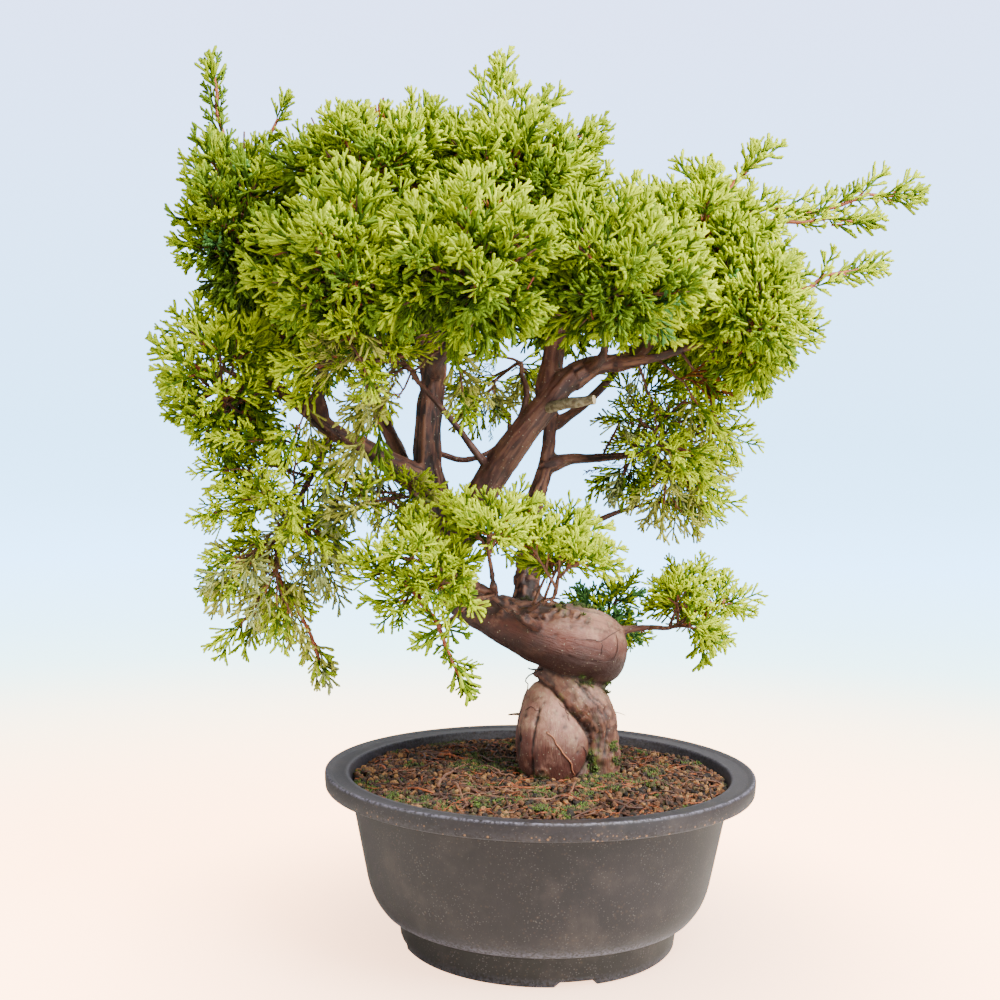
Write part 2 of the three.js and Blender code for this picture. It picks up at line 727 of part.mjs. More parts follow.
// The pot: one closed profile turned about the axis, with notches and a drain cut through it
function potSolid() {
  const p = POT;
  const profile = [
    [0, p.footRecess],
    [p.footInner, p.footRecess],
    [p.footInner, 0],
    [p.footRadius, 0],
    [p.footTopRadius, p.footTop],
    [p.shoulderRadius, p.shoulderHeight],
    [p.hipRadius, p.hipHeight],
    [p.bellyRadius, p.bellyHeight],
    [p.wallTopRadius, p.rimTop - p.rimBand - 1],
    [p.rimRadius - p.rimEdge, p.rimTop - p.rimBand],
    [p.rimRadius, p.rimTop - p.rimEdge],
    [p.rimRadius - p.rimEdge, p.rimTop],
    [p.rimRadius - p.lipWidth, p.rimTop - p.lipRise],
    [p.rimInner, p.rimTop - p.lipRise],
    [p.bellyRadius - p.wall, p.bellyHeight],
    [p.floorRadius, p.floor + p.footRecess],
    [0, p.floor + p.footRecess],
  ];
  const points = profile.map(([r, z]) => new THREE.Vector2(r, z));
  const turned = new THREE.LatheGeometry(points, p.segments);
  turned.rotateX(Math.PI / 2);
  let solid = toSolid(turned);
  for (let i = 0; i < p.notches; i += 1) {
    const notch = new THREE.BoxGeometry(p.notchWidth, 30, 2 * p.notchHeight);
    notch.translate(0, -p.footRadius + 4, 0);
    notch.rotateZ((i * 2 * Math.PI) / p.notches + p.notchTurn);
    solid = solid.subtract(toSolid(notch));
  }
  const drain = new THREE.CylinderGeometry(p.drainRadius, p.drainRadius, 30, 16);
  drain.rotateX(Math.PI / 2);
  return solid.subtract(toSolid(drain));
}

// The soil: it fills the pot, a hair clear of the wall, and rises to a level middle
function soilSolid() {
  const p = POT;
  const bottom = p.floor + p.footRecess + GAP;
  const points = [
    [0, bottom],
    [SOIL.floorRadius, bottom],
    [SOIL.bellyRadius, p.bellyHeight],
    [SOIL.edgeRadius, SOIL.edge],
    [SOIL.levelRadius, SOIL.top],
    [0, SOIL.top],
  ].map(([r, z]) => new THREE.Vector2(r, z));
  const turned = new THREE.LatheGeometry(points, p.segments);
  turned.rotateX(Math.PI / 2);
  return join([toSolid(turned), ...moundSolids()]);
}

// The mounds on the soil: low pointed domes set by the golden angle
function moundSolids() {
  const solids = [];
  const { count, spread, reach, height, sink, sides } = MOUND;
  for (let k = 0; k < count; k += 1) {
    const away = spread * Math.sqrt(k + 0.5);
    const [x, y] = [away * Math.cos(k * GOLDEN_ANGLE), away * Math.sin(k * GOLDEN_ANGLE)];
    const fromTrunk = Math.hypot(x - TRUNK_FOOT.at[0], y - TRUNK_FOOT.at[1]);
    if (fromTrunk > TRUNK_FOOT.radius + reach) {
      const fall = Math.max(0, (away - SOIL.levelRadius) / (SOIL.edgeRadius - SOIL.levelRadius));
      const dome = new THREE.ConeGeometry(reach, height + sink, sides);
      dome.rotateX(Math.PI / 2);
      dome.rotateZ(k);
      dome.translate(x, y, mix(SOIL.top, SOIL.edge, fall) + (height - sink) / 2);
      solids.push(toSolid(dome));
    }
  }
  return solids;
}

function material(color, roughness) {
  return new THREE.MeshStandardMaterial({ color, roughness, metalness: 0 });
}

const bonsai = new THREE.Group();

function place(name, solid, finish) {
  const mesh = new THREE.Mesh(toGeometry(solid), finish);
  mesh.name = name;
  bonsai.add(mesh);
}

place('pot', potSolid(), material(COLOUR.pot, 0.6));
place('soil', soilSolid(), material(COLOUR.soil, 0.95));
place('trunk', biggestBody(cutAtGround(trunkSolid(0))), material(COLOUR.bark, 0.8));

// Each bough is seated on what it grows from, a hair clear of it and of every limb before it
const grown = [trunkSolid(GAP)];
for (const bough of BOUGHS) {
  const solid = cutClear(boughSolid(bough, 0), grown);
  place(bough.name, solid, material(bough.sawn ? COLOUR.sawnWood : COLOUR.bark, 0.8));
  grown.push(boughSolid(bough, GAP));
}

MASSES.forEach((mass, index) => {
  const solid = cutClear(massSolid(mass, index), grown);
  place(mass.name, solid, material(mass.rise < 0 ? COLOUR.shadeLeaf : COLOUR.leaf, 0.7));
});

export default bonsai;
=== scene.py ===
"""The looks of a juniper bonsai in a round training pot.

Sizes and places are in millimetres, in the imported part's own frame: +Z up, -Y the front of the
tree, and the origin on the pot's axis, in the plane that its foot stands on. They are put into
metres where a mesh is made.
"""

import logging
import math
from dataclasses import dataclass
from enum import Enum
from functools import cached_property
from itertools import product

import bpy
import numpy as np
from mathutils import Matrix, Vector
from numpy.linalg import norm


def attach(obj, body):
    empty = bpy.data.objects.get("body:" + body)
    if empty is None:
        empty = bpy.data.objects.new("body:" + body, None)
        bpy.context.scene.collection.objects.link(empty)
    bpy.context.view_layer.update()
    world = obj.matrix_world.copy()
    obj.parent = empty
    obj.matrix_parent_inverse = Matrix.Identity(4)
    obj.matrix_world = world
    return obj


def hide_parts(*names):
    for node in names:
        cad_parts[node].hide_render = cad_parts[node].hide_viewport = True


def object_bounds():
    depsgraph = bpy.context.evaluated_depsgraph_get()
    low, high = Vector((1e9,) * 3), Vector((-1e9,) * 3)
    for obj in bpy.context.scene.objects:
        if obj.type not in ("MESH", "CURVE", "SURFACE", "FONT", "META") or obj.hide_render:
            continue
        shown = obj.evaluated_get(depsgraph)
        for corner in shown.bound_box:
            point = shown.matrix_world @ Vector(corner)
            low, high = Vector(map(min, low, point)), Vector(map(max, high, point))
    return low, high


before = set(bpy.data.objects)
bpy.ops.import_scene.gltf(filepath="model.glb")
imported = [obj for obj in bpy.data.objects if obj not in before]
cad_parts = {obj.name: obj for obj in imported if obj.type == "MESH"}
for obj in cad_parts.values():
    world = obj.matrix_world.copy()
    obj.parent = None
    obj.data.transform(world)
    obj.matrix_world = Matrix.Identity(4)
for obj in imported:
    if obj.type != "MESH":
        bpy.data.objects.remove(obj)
cad_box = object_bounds()

LOG = logging.getLogger("bonsai")
MM = 0.001
BODY = "root"
UP = np.array([0.0, 0.0, 1.0])
GOLDEN_ANGLE = math.pi * (3 - math.sqrt(5))

Array = np.ndarray
Dice = np.random.Generator
Socket = bpy.types.NodeSocket
Pair = tuple[float, float]
Place = tuple[float, float, float]
Colour = tuple[float, float, float]


def unit(vectors: Array) -> Array:
    """Vectors brought to a length of one."""
    return vectors / np.maximum(norm(vectors, axis=-1, keepdims=True), 1e-9)


def mix(a: float, b: float, t: float) -> float:
    """The value a share t of the way from a to b."""
    return a + (b - a) * t


def ramp(value: Array, low: float, high: float) -> Array:
    """A smooth step from 0 at low to 1 at high."""
    t = np.clip((value - low) / (high - low), 0, 1)
    return t * t * (3 - 2 * t)


def bell(distance: Array, width: float) -> Array:
    """A smooth hump, 1 at a distance of 0 and falling off over a width."""
    return np.exp(-((distance / width) ** 2))


def rgba(colour: Colour) -> tuple[float, float, float, float]:
    """A colour given as 0 to 255 on screen, as Blender's linear red, green, blue and alpha."""
    linear = [c / 255 / 12.92 if c <= 10 else ((c / 255 + 0.055) / 1.055) ** 2.4 for c in colour]
    return (*linear, 1.0)


def lattice_noise(points: Array, seed: int) -> Array:
    """Smooth noise with one swing to a unit.

    Args:
        points: Places of shape (n, 3), in swings.
        seed: Which noise it is.

    Returns:
        Values of shape (n,) from -1 to 1.
    """
    base = np.floor(points).astype(np.int64)
    part = points - base
    part = part * part * (3 - 2 * part)
    total = np.zeros(len(points))
    for corner in product((0, 1), repeat=3):
        cell = base + np.array(corner)
        code = (cell[:, 0] * 73856093) ^ (cell[:, 1] * 19349663) ^ (cell[:, 2] * 83492791)
        code = (code ^ (seed * 40503)) & 0xFFFFFFFF
        code = ((code ^ (code >> 13)) * 1274126177) & 0xFFFFFFFF
        code = ((code ^ (code >> 15)) * 2246822519) & 0xFFFFFFFF
        code ^= code >> 16
        weight = np.prod(np.where(corner, part, 1 - part), axis=1)
        total += weight * (code / 2147483648.0 - 1)
    return total


def layered_noise(points: Array, seed: int, layers: int = 3) -> Array:
    """Noise of shape (n,) in layers, each half as wide and half as strong as the one before."""
    return sum(lattice_noise(points * 2**i, seed + i) * 0.5**i for i in range(layers))


def smooth_line(places: Array, t: Array) -> Array:
    """Places on the smooth line through given ones.

    Args:
        places: The given places, of shape (n, 3).
        t: Shares of the line, of shape (m,), from 0 at the first place to 1 at the last.

    Returns:
        Places of shape (m, 3).
    """
    p = np.asarray(places, float)
    p = np.vstack([2 * p[0] - p[1], p, 2 * p[-1] - p[-2]])
    x = np.clip(t, 0, 1) * (len(p) - 3)
    i = np.minimum(x.astype(int), len(p) - 4)
    w = (x - i)[:, None]
    a, b, c, d = p[i], p[i + 1], p[i + 2], p[i + 3]
    start, end = 0.5 * (c - a), 0.5 * (d - b)
    return b + w * (start + w * (3 * (c - b) - 2 * start - end + w * (2 * (b - c) + start + end)))


def even_directions(count: int, phase: float) -> Array:
    """Even directions all round.

    Args:
        count: How many.
        phase: How far they are turned about +Z.

    Returns:
        Unit vectors of shape (count, 3).
    """
    k = np.arange(count)
    height = 1 - (2 * (k + 0.5)) / count
    flat = np.sqrt(1 - height**2)
    angle = phase + k * GOLDEN_ANGLE
    return np.stack([flat * np.cos(angle), flat * np.sin(angle), height], axis=1)


def ring(sides: int) -> Array:
    """Even angles once round, in radians."""
    return 2 * np.pi * np.arange(sides) / sides


def spokes(across: Array, other: Array, sides: int) -> Array:
    """Even unit vectors round an axis, from two at right angles to it and each other, of shape (n, 3)."""
    angle = ring(sides)[:, None]
    return across[:, None] * np.cos(angle) + other[:, None] * np.sin(angle)


def leant(azimuth: float, lean: float) -> Array:
    """A unit vector that leans away from +Z, towards an azimuth."""
    return np.array([math.cos(azimuth) * math.sin(lean), math.sin(azimuth) * math.sin(lean), math.cos(lean)])


def wall_faces(rings: int, sides: int) -> Array:
    """The triangles of a wall through rings of points, numbered ring by ring.

    Args:
        rings: How many rings it has.
        sides: How many points a ring has.

    Returns:
        Triangles of shape (n, 3), ring by ring.
    """
    first = sides * np.arange(rings - 1)[:, None]
    a, b = first + np.arange(sides), first + (np.arange(sides) + 1) % sides
    return np.stack([a, b, b + sides, a, b + sides, a + sides], axis=-1).reshape(-1, 3)


def fan_faces(sides: int) -> Array:
    """The triangles of a flat cap over a first ring, facing away from the wall."""
    k = np.arange(sides)
    return np.stack([np.zeros(sides - 2, int), k[2:], k[1:-1]], 1)


def turned_frames(axes: Array, turns: Array) -> Array:
    """Rotations that take +Z to each axis, turned about it.

    Args:
        axes: Unit vectors of shape (n, 3).
        turns: Angles about them, of shape (n,).

    Returns:
        Matrices of shape (n, 3, 3).
    """
    across = unit(np.cross([0.31, 0.17, 0.93], axes))
    other = np.cross(axes, across)
    c, s = np.cos(turns)[:, None], np.sin(turns)[:, None]
    return np.stack([c * across + s * other, c * other - s * across, axes], axis=2)


def tubes(centres: Array, radii: Array, sides: int, point: float = 0.9,
          foot: bool = True) -> tuple[Array, Array]:
    """Round tapering tubes with pointed tips.

    Args:
        centres: Centre lines of shape (k, rings, 3).
        radii: Radii of shape (k, rings).
        sides: How many sides a tube has.
        point: How far the tip stands past the last ring, in radii.
        foot: Whether a flat foot closes the first ring.

    Returns:
        Points of shape (k, rings * sides + 1, 3), and one tube's triangles.
    """
    count, rings = radii.shape
    along = unit(np.gradient(centres, axis=1))
    across = unit(np.cross(along[:, 0], [0.37, 0.21, 0.9]))
    walls = np.empty((count, rings, sides, 3))
    for i in range(rings):
        across = unit(across - np.sum(across * along[:, i], axis=1, keepdims=True) * along[:, i])
        spoke = spokes(across, np.cross(along[:, i], across), sides)
        walls[:, i] = centres[:, i, None] + spoke * radii[:, i, None, None]
    tip = centres[:, -1] + along[:, -1] * radii[:, -1:] * point
    points = np.concatenate([walls.reshape(count, -1, 3), tip[:, None]], axis=1)
    k = np.arange(sides)
    last = (rings - 1) * sides
    faces = [wall_faces(rings, sides), np.stack([last + k, last + (k + 1) % sides, k * 0 + last + sides], 1)]
    if foot:
        faces.append(fan_faces(sides))
    return points, np.concatenate(faces)


def spindles(roots: Array, tips: Array, radii: Array) -> tuple[Array, Array]:
    """Slim three-sided clubs: pointed at the root, widest near the blunt tip.

    Args:
        roots: Where they start, of shape (k, 3).
        tips: Where they end, of shape (k, 3).
        radii: Their greatest radii, of shape (k,).

    Returns:
        Points of shape (k, 5, 3), and one club's triangles.
    """
    way = tips - roots
    across = unit(np.cross(way, [0.37, 0.21, 0.9]))
    spoke = spokes(across, np.cross(unit(way), across), 3)
    middle = (roots + 0.7 * way)[:, None] + spoke * radii[:, None, None]
    points = np.concatenate([roots[:, None], middle, tips[:, None]], axis=1)
    faces = np.array([(0, 2, 1), (0, 3, 2), (0, 1, 3), (4, 1, 2), (4, 2, 3), (4, 3, 1)])
    return points, faces


def linked(name: str, data: bpy.types.ID) -> bpy.types.Object:
    """Makes an object that is linked to the scene.

    Args:
        name: Its name.
        data: The mesh, light or camera that it holds.

    Returns:
        The object.
    """
    made = bpy.data.objects.new(name, data)
    bpy.context.scene.collection.objects.link(made)
    return made


def store_values(mesh: bpy.types.Mesh, name: str, values: Array) -> None:
    """Stores a value or a vector at each point of a mesh, for its finish to read.

    Args:
        mesh: The mesh.
        name: The attribute's name.
        values: The values, of shape (points,) or (points, 3).
    """
    kind, key = ("FLOAT_VECTOR", "vector") if values.ndim == 2 else ("FLOAT", "value")
    store = mesh.attributes.new(name, kind, "POINT")
    store.data.foreach_set(key, values.astype(np.float32).ravel())


class Shape:
    """The points and triangles of one piece, gathered in millimetres."""

    def __init__(self) -> None:
        """Starts with nothing in it."""
        self.points: list[Array] = []
        self.faces: list[Array] = []
        self.tints: list[Array] = []
        self.count = 0

    def add(self, points: Array, faces: Array, tints: Array | int = 0) -> None:
        """Adds copies of one form.

        Args:
            points: Points of shape (copies, n, 3), or (n, 3) for one copy.
            faces: The form's triangles, of shape (m, 3).
            tints: Each copy's material, each face's of shape (copies, m), or one for all.
        """
        points = points.reshape(-1, *points.shape[-2:])
        copies, size = points.shape[:2]
        shift = self.count + size * np.arange(copies)
        self.points.append(points.reshape(-1, 3))
        self.faces.append((faces[None] + shift[:, None, None]).reshape(-1, 3))
        tints = np.asarray(tints)
        tints = tints[:, None] if tints.ndim == 1 else tints
        self.tints.append(np.broadcast_to(tints, (copies, len(faces))).ravel())
        self.count += copies * size

    def build(self, name: str, materials: list[bpy.types.Material], smooth: bool = True) -> bpy.types.Object:
        """Makes the piece's object.

        Args:
            name: The piece's name.
            materials: Its materials, in the order of the tints.
            smooth: Whether its faces are shaded smooth.

        Returns:
            The object, linked to the scene.
        """
        points, faces = np.concatenate(self.points), np.concatenate(self.faces)
        mesh = bpy.data.meshes.new(name)
        mesh.vertices.add(len(points))
        mesh.vertices.foreach_set("co", (points * MM).astype(np.float32).ravel())
        mesh.loops.add(faces.size)
        mesh.loops.foreach_set("vertex_index", faces.astype(np.int32).ravel())
        mesh.polygons.add(len(faces))
        mesh.polygons.foreach_set("loop_start", np.arange(0, faces.size, 3, dtype=np.int32))
        for material in materials:
            mesh.materials.append(material)
        mesh.polygons.foreach_set("material_index", np.concatenate(self.tints).astype(np.int32))
        mesh.polygons.foreach_set("use_smooth", np.full(len(faces), smooth))
        mesh.update(calc_edges=True)
        return linked(name, mesh)


def settle(piece: bpy.types.Object, nodes: list[str]) -> bpy.types.Object:
    """Puts a finished piece on the part.

    Args:
        piece: The piece.
        nodes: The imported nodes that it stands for.

    Returns:
        The piece.
    """
    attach(piece, BODY)
    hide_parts(*nodes)
    LOG.info("%s: %d triangles", piece.name, sum(len(p.vertices) - 2 for p in piece.data.polygons))
    return piece


class SeededRandom:
    """The source's random numbers, the same from one seed on every run."""

    def __init__(self, seed: int) -> None:
        """Starts from a seed."""
        self.state = seed & 0xFFFFFFFF

    def __call__(self) -> float:
        """The next number.

        Returns:
            The number, from 0 to 1.
        """
        self.state = (self.state + 0x6D2B79F5) & 0xFFFFFFFF
        t = self.state
        t = ((t ^ (t >> 15)) * (t | 1)) & 0xFFFFFFFF
        t ^= (t + (((t ^ (t >> 7)) * (t | 61)) & 0xFFFFFFFF)) & 0xFFFFFFFF
        return ((t ^ (t >> 14)) & 0xFFFFFFFF) / 4294967296


# Limbs: the trunk's places and girths, the foot's lobes, and each bough's girths and path
TRUNK_COIL = (
    (13, 8, 70, 19), (13, 9.5, 108, 18), (19, 10.5, 124, 15.5), (26, 3, 141, 17), (13, -5, 146, 17.5),
    (-5, -8, 151, 14.5), (-25, -6, 158, 10), (-39, -2, 165, 8.6), (-46, 2, 179, 8.1), (-50, 6, 196, 7.8),
    (-54, 8, 213, 7.5), (-58, 8, 233, 7.1), (-57, 8, 259, 6.6), (-55, 6, 282, 5.6), (-54, 3, 306, 4),
    (-56, 0, 320, 3),
)
BACK_LOBE = ((1, 2, 133, 7), (20, 0.5, 116, 13), (26, 5, 100, 12.5), (27, 10, 74, 14))
FRONT_LOBE_AT = (7, 0, 97)
FRONT_LOBE_REACH = (18.8, 18.5, 29)
SOIL_TOP = 79.0
TRUNK_FOOT = 77.0


@dataclass(frozen=True)
class Bough:
    """One tapering limb: its girth at its root and tip, and the path between them."""

    name: str
    girth: Pair
    path: tuple[Place, ...]
    flaky: float = 0.5


BOUGHS = tuple(Bough(*row) for row in (
    ("limb_right", (8.3, 6.2), ((-48, 2, 190), (-36, -6, 206), (-22, -10, 230), (-9, -14, 248),
     (2, -16, 262), (10, -16, 272)), 0.45),
    ("bough_right_upper", (5.4, 2.2), ((7, -16, 269), (21, -14, 278), (33, -12, 281), (44, -9, 285),
     (55, -7, 297), (64, -6, 313)), 0.8),
    ("bough_right_lower", (3.3, 1.7), ((30, -12, 280), (42, -16, 281), (53, -20, 283), (66, -23, 287)), 0.8),
    ("bough_right_front", (3, 1.6), ((20, -14, 278), (25, -26, 280), (27, -39, 283), (27, -46, 289))),
    ("limb_upper", (4.6, 2), ((0, -16, 260), (3, -13, 285), (6, -10, 309), (1, -8, 328), (-6, -9, 340))),
    ("cut_stub", (2.9, 2.2), ((-1, -15, 258), (8, -27, 259.5), (23, -34, 261.5))),
    ("back_stem", (6.2, 2.4), ((-7, 8, 157), (-8, 14, 177), (-6, 18, 205), (1, 24, 232), (4, 29, 262),
     (8, 44, 292)), 1.0),
    ("bough_back_right", (3.6, 2), ((0, 23, 231), (12, 26, 235), (26, 26, 236), (37, 22, 237)), 0.8),
    ("bough_back_far", (3, 1.8), ((3, 27, 252), (18, 36, 262), (32, 46, 276), (43, 53, 290))),
    ("twig_right_long", (2.3, 1.1), ((-7, 17, 198), (8, 16, 199), (22, 13, 202), (36, 11, 208),
     (46, 10, 211))),
    ("twig_middle", (2.2, 1.4), ((-13, -12, 243), (-12, 4, 253), (-9, 14, 268), (-12, 26, 279))),
    ("twig_crossing", (2.2, 1.3), ((-25, -9, 226), (-32, -14, 236), (-41, -19, 248), (-51, -25, 260),
     (-59, -36, 269)), 0.2),
    ("twig_level", (1.8, 1.2), ((-57, 8, 239), (-50, 16, 236), (-40, 19, 234), (-28, 20, 238),
     (-19, 26, 247), (-18, 33, 258)), 0.2),
    ("bough_left", (6.1, 3.2), ((-58, 6, 221), (-70, 0, 228), (-85, -6, 237), (-102, -12, 246),
     (-115, -16, 257), (-123, -18, 262)), 0.8),
    ("bough_left_rising", (3.6, 2), ((-108, -14, 250), (-109, -17, 266), (-103, -26, 280), (-96, -39, 293))),
    ("twig_hanging", (2.2, 1.5), ((-103, -12, 247), (-107, -15, 235), (-112, -18, 224), (-117, -21, 213))),
    ("limb_back_left", (5.2, 2.4), ((-56, 9, 214), (-70, 21, 228), (-84, 37, 254), (-95, 48, 278),
     (-104, 55, 292)), 0.8),
    ("bough_left_crown", (4, 2.2), ((-55, 5, 288), (-72, 4, 303), (-90, 0, 314), (-107, -4, 324))),
    ("bough_top_left", (3.4, 2.1), ((-55, 1, 312), (-61, -4, 326), (-70, -10, 338), (-76, -14, 344))),
    ("bough_front", (3.6, 2.1), ((-55, 6, 276), (-52, -12, 281), (-46, -29, 286), (-41, -44, 292))),
    ("bough_back", (3.8, 2.1), ((-57, 8, 264), (-61, 24, 279), (-66, 40, 294), (-70, 52, 306))),
    ("bough_back_top", (3.1, 1.9), ((-55, 5, 290), (-49, 17, 304), (-43, 29, 319), (-38, 39, 335))),
    ("bough_low_front", (2.9, 1.6), ((2, -9, 153), (-6, -31, 157), (-16, -38, 166), (-28, -46, 174),
     (-35, -52, 178))),
    ("twig_pad_middle", (1.6, 1.1), ((-21, -41, 170), (-22, -50, 177), (-23, -57, 185))),
    ("twig_pad_right", (1.6, 1), ((-11, -35, 162), (-4, -43, 165), (1, -50, 169))),
    ("twig_low_right", (2.2, 1.4), ((34, 4, 149), (46, 5, 151), (55, 3, 152))),
    ("twig_behind", (1.8, 1.2), ((20, 10, 140), (26, 24, 143), (29, 31, 146))),
    ("twig_inner_left", (1.8, 1.2), ((-55, 7, 218), (-59, -5, 217), (-62, -13, 216))),
))
STUB = "cut_stub"


class Region(Enum):
    """Which part of the crown a mass is joined into."""

    LEFT = "left"
    TOP = "top"
    FRONT = "front"
    RIGHT = "right"
    LOW = "low"
    BACK_LEFT = "back_left"
    BACK_RIGHT = "back_right"
    HANGING = "hanging"


@dataclass(frozen=True)
class Mass:
    """A mass of foliage: the bough it ends, its middle, how far it reaches, its habit and leaders."""

    name: str
    bough: str
    at: Place
    reach: Place
    rise: float
    dense: bool
    region: Region
    leaders: tuple[Place, ...] = ()


MASSES = tuple(Mass(*row) for row in (
    ("foliage_left_crown", "bough_left_crown", (-149, -9, 350), (37, 46, 47), 0.5, True, Region.LEFT,
     ((-169, 0, 435), (-127, -15, 408))),
    ("foliage_left_outer", "bough_left", (-155, -20, 266), (35, 47, 44), 0.1, True, Region.LEFT,
     ((-190, -28, 289), (-178, -30, 250))),
    ("foliage_left_front", "bough_left_rising", (-90, -69, 318), (42, 44, 38), 0.4, True, Region.LEFT,
     ((-92, -124, 322),)),
    ("foliage_left_low_front", "twig_crossing", (-84, -62, 276), (27, 28, 26), -0.5, False, Region.HANGING),
    ("foliage_top_left", "bough_top_left", (-85, -20, 372), (48, 52, 33), 0.6, True, Region.TOP,
     ((-93, -20, 407),)),
    ("foliage_top", "limb_upper", (-18, -12, 371), (47, 52, 36), 0.6, True, Region.TOP, ((-26, -5, 430),
     (0, -10, 412), (27, -10, 397))),
    ("foliage_front", "bough_front", (-30, -86, 314), (44, 45, 40), 0.3, True, Region.FRONT,
     ((-34, -135, 312),)),
    ("foliage_right_front", "bough_right_front", (31, -70, 312), (42, 45, 38), 0.3, True, Region.FRONT,
     ((34, -122, 306),)),
    ("foliage_right_crown", "bough_right_upper", (71, -5, 342), (46, 52, 34), 0.4, True, Region.RIGHT,
     ((190, 14, 370), (109, 0, 391), (162, -5, 352))),
    ("foliage_right_end", "bough_right_lower", (95, -30, 302), (34, 48, 40), 0.2, True, Region.RIGHT,
     ((160, -20, 330),)),
    ("foliage_right_hanging", "bough_back_right", (67, 5, 242), (33, 40, 41), -0.4, False, Region.HANGING,
     ((78, 5, 198),)),
    ("foliage_left_hanging", "twig_hanging", (-131, -28, 187), (34, 34, 56), -0.5, False, Region.HANGING,
     ((-99, -30, 127), (-161, -30, 164))),
    ("foliage_pad_left", "bough_low_front", (-60, -68, 178), (29, 36, 27), 0.4, False, Region.LOW,
     ((-30, -58, 125),)),
    ("foliage_pad_middle", "twig_pad_middle", (-24, -70, 205), (22, 28, 19), 0.6, False, Region.LOW),
    ("foliage_pad_right", "twig_pad_right", (8, -62, 194), (21, 26, 30), 0.2, False, Region.LOW),
    ("foliage_low_right", "twig_low_right", (82, -2, 166), (29, 28, 27), 0.2, False, Region.LOW,
     ((78, 0, 133),)),
    ("foliage_behind_coil", "twig_behind", (37, 42, 151), (20, 24, 29), 0.1, False, Region.LOW),
    ("foliage_back_left", "limb_back_left", (-138, 63, 322), (50, 50, 52), 0.3, True, Region.BACK_LEFT,
     ((-172, 112, 352),)),
    ("foliage_back", "bough_back", (-77, 77, 342), (50, 50, 54), 0.3, True, Region.BACK_LEFT,
     ((-70, 135, 330),)),
    ("foliage_back_middle", "back_stem", (9, 76, 347), (52, 50, 54), 0.3, True, Region.BACK_RIGHT,
     ((16, 104, 404),)),
    ("foliage_back_top", "bough_back_top", (-34, 47, 380), (34, 38, 33), 0.5, True, Region.TOP),
    ("foliage_back_right", "bough_back_far", (84, 62, 324), (50, 52, 52), 0.3, True, Region.BACK_RIGHT,
     ((138, 92, 338),)),
    ("foliage_inner_left", "twig_inner_left", (-78, -28, 213), (27, 24, 15), -0.2, False, Region.HANGING),
    ("foliage_middle", "twig_middle", (-30, 45, 274), (24, 25, 22), -0.5, False, Region.HANGING),
))


class Limbs:
    """The centre lines of the trunk and boughs, as short stretches with their girths."""

    PER_PLACE = 3

    def __init__(self) -> None:
        """Cuts every line into its stretches."""
        rows = []
        self.flaky: list[float] = []
        coil = np.array(TRUNK_COIL, float)
        self._cut(rows, coil[:, :3], coil[:, 3], 0.0)
        lobe = np.array(BACK_LOBE, float)
        self._cut(rows, lobe[:, :3], lobe[:, 3], 0.8)
        for bough in BOUGHS:
            path = np.array(bough.path, float)
            self._cut(rows, path, np.linspace(*bough.girth, len(path)), bough.flaky)
        self.starts, self.ends, self.across, self.other = (np.array([r[i] for r in rows]) for i in range(4))
        self.along, self.girths, self.limb = (np.array([r[i] for r in rows]) for i in (4, 5, 6))

    def _cut(self, rows: list, path: Array, girths: Array, flaky: float) -> None:
        """Adds one line's stretches.

        Args:
            rows: Where the stretches go.
            path: The line's places.
            girths: The girth at each place.
            flaky: How flaky the bark is there.
        """
        count = self.PER_PLACE * (len(path) - 1)
        t = np.linspace(0, 1, count + 1)
        line = smooth_line(path, t)
        girth = np.interp(t * (len(path) - 1), np.arange(len(path)), girths)
        across = np.array([0.3, 1.0, 0.2])
        along = 0.0
        for i in range(count):
            way = line[i + 1] - line[i]
            length = norm(way)
            across = unit(across - (across @ way) * way / length**2)
            other = np.cross(way / length, across)
            rows.append((line[i], line[i + 1], across, other, along, girth[i:i + 2], len(self.flaky)))
            along += length
        self.flaky.append(flaky)

    def nearest(self, points: Array) -> tuple[Array, Array, Array]:
        """The nearest stretch to each point.

        Args:
            points: Places of shape (n, 3).

        Returns:
            The gap to its surface, which stretch it is, and the share along it.
        """
        gaps, which, shares = [], [], []
        way = self.ends - self.starts
        square = np.sum(way**2, axis=1)
        for part in np.array_split(points, max(1, len(points) // 4000)):
            offset = part[:, None] - self.starts
            t = np.clip(np.sum(offset * way, axis=2) / square, 0, 1)
            gap = norm(offset - t[:, :, None] * way, axis=2) - mix(*self.girths.T, t)
            best = np.argmin(gap, axis=1)
            row = np.arange(len(part))
            gaps.append(gap[row, best])
            which.append(best)
            shares.append(t[row, best])
        return np.concatenate(gaps), np.concatenate(which), np.concatenate(shares)

    def clear(self, points: Array, margin: float) -> Array:
        """Whether each point keeps a margin to every limb."""
        return self.nearest(points)[0] > margin


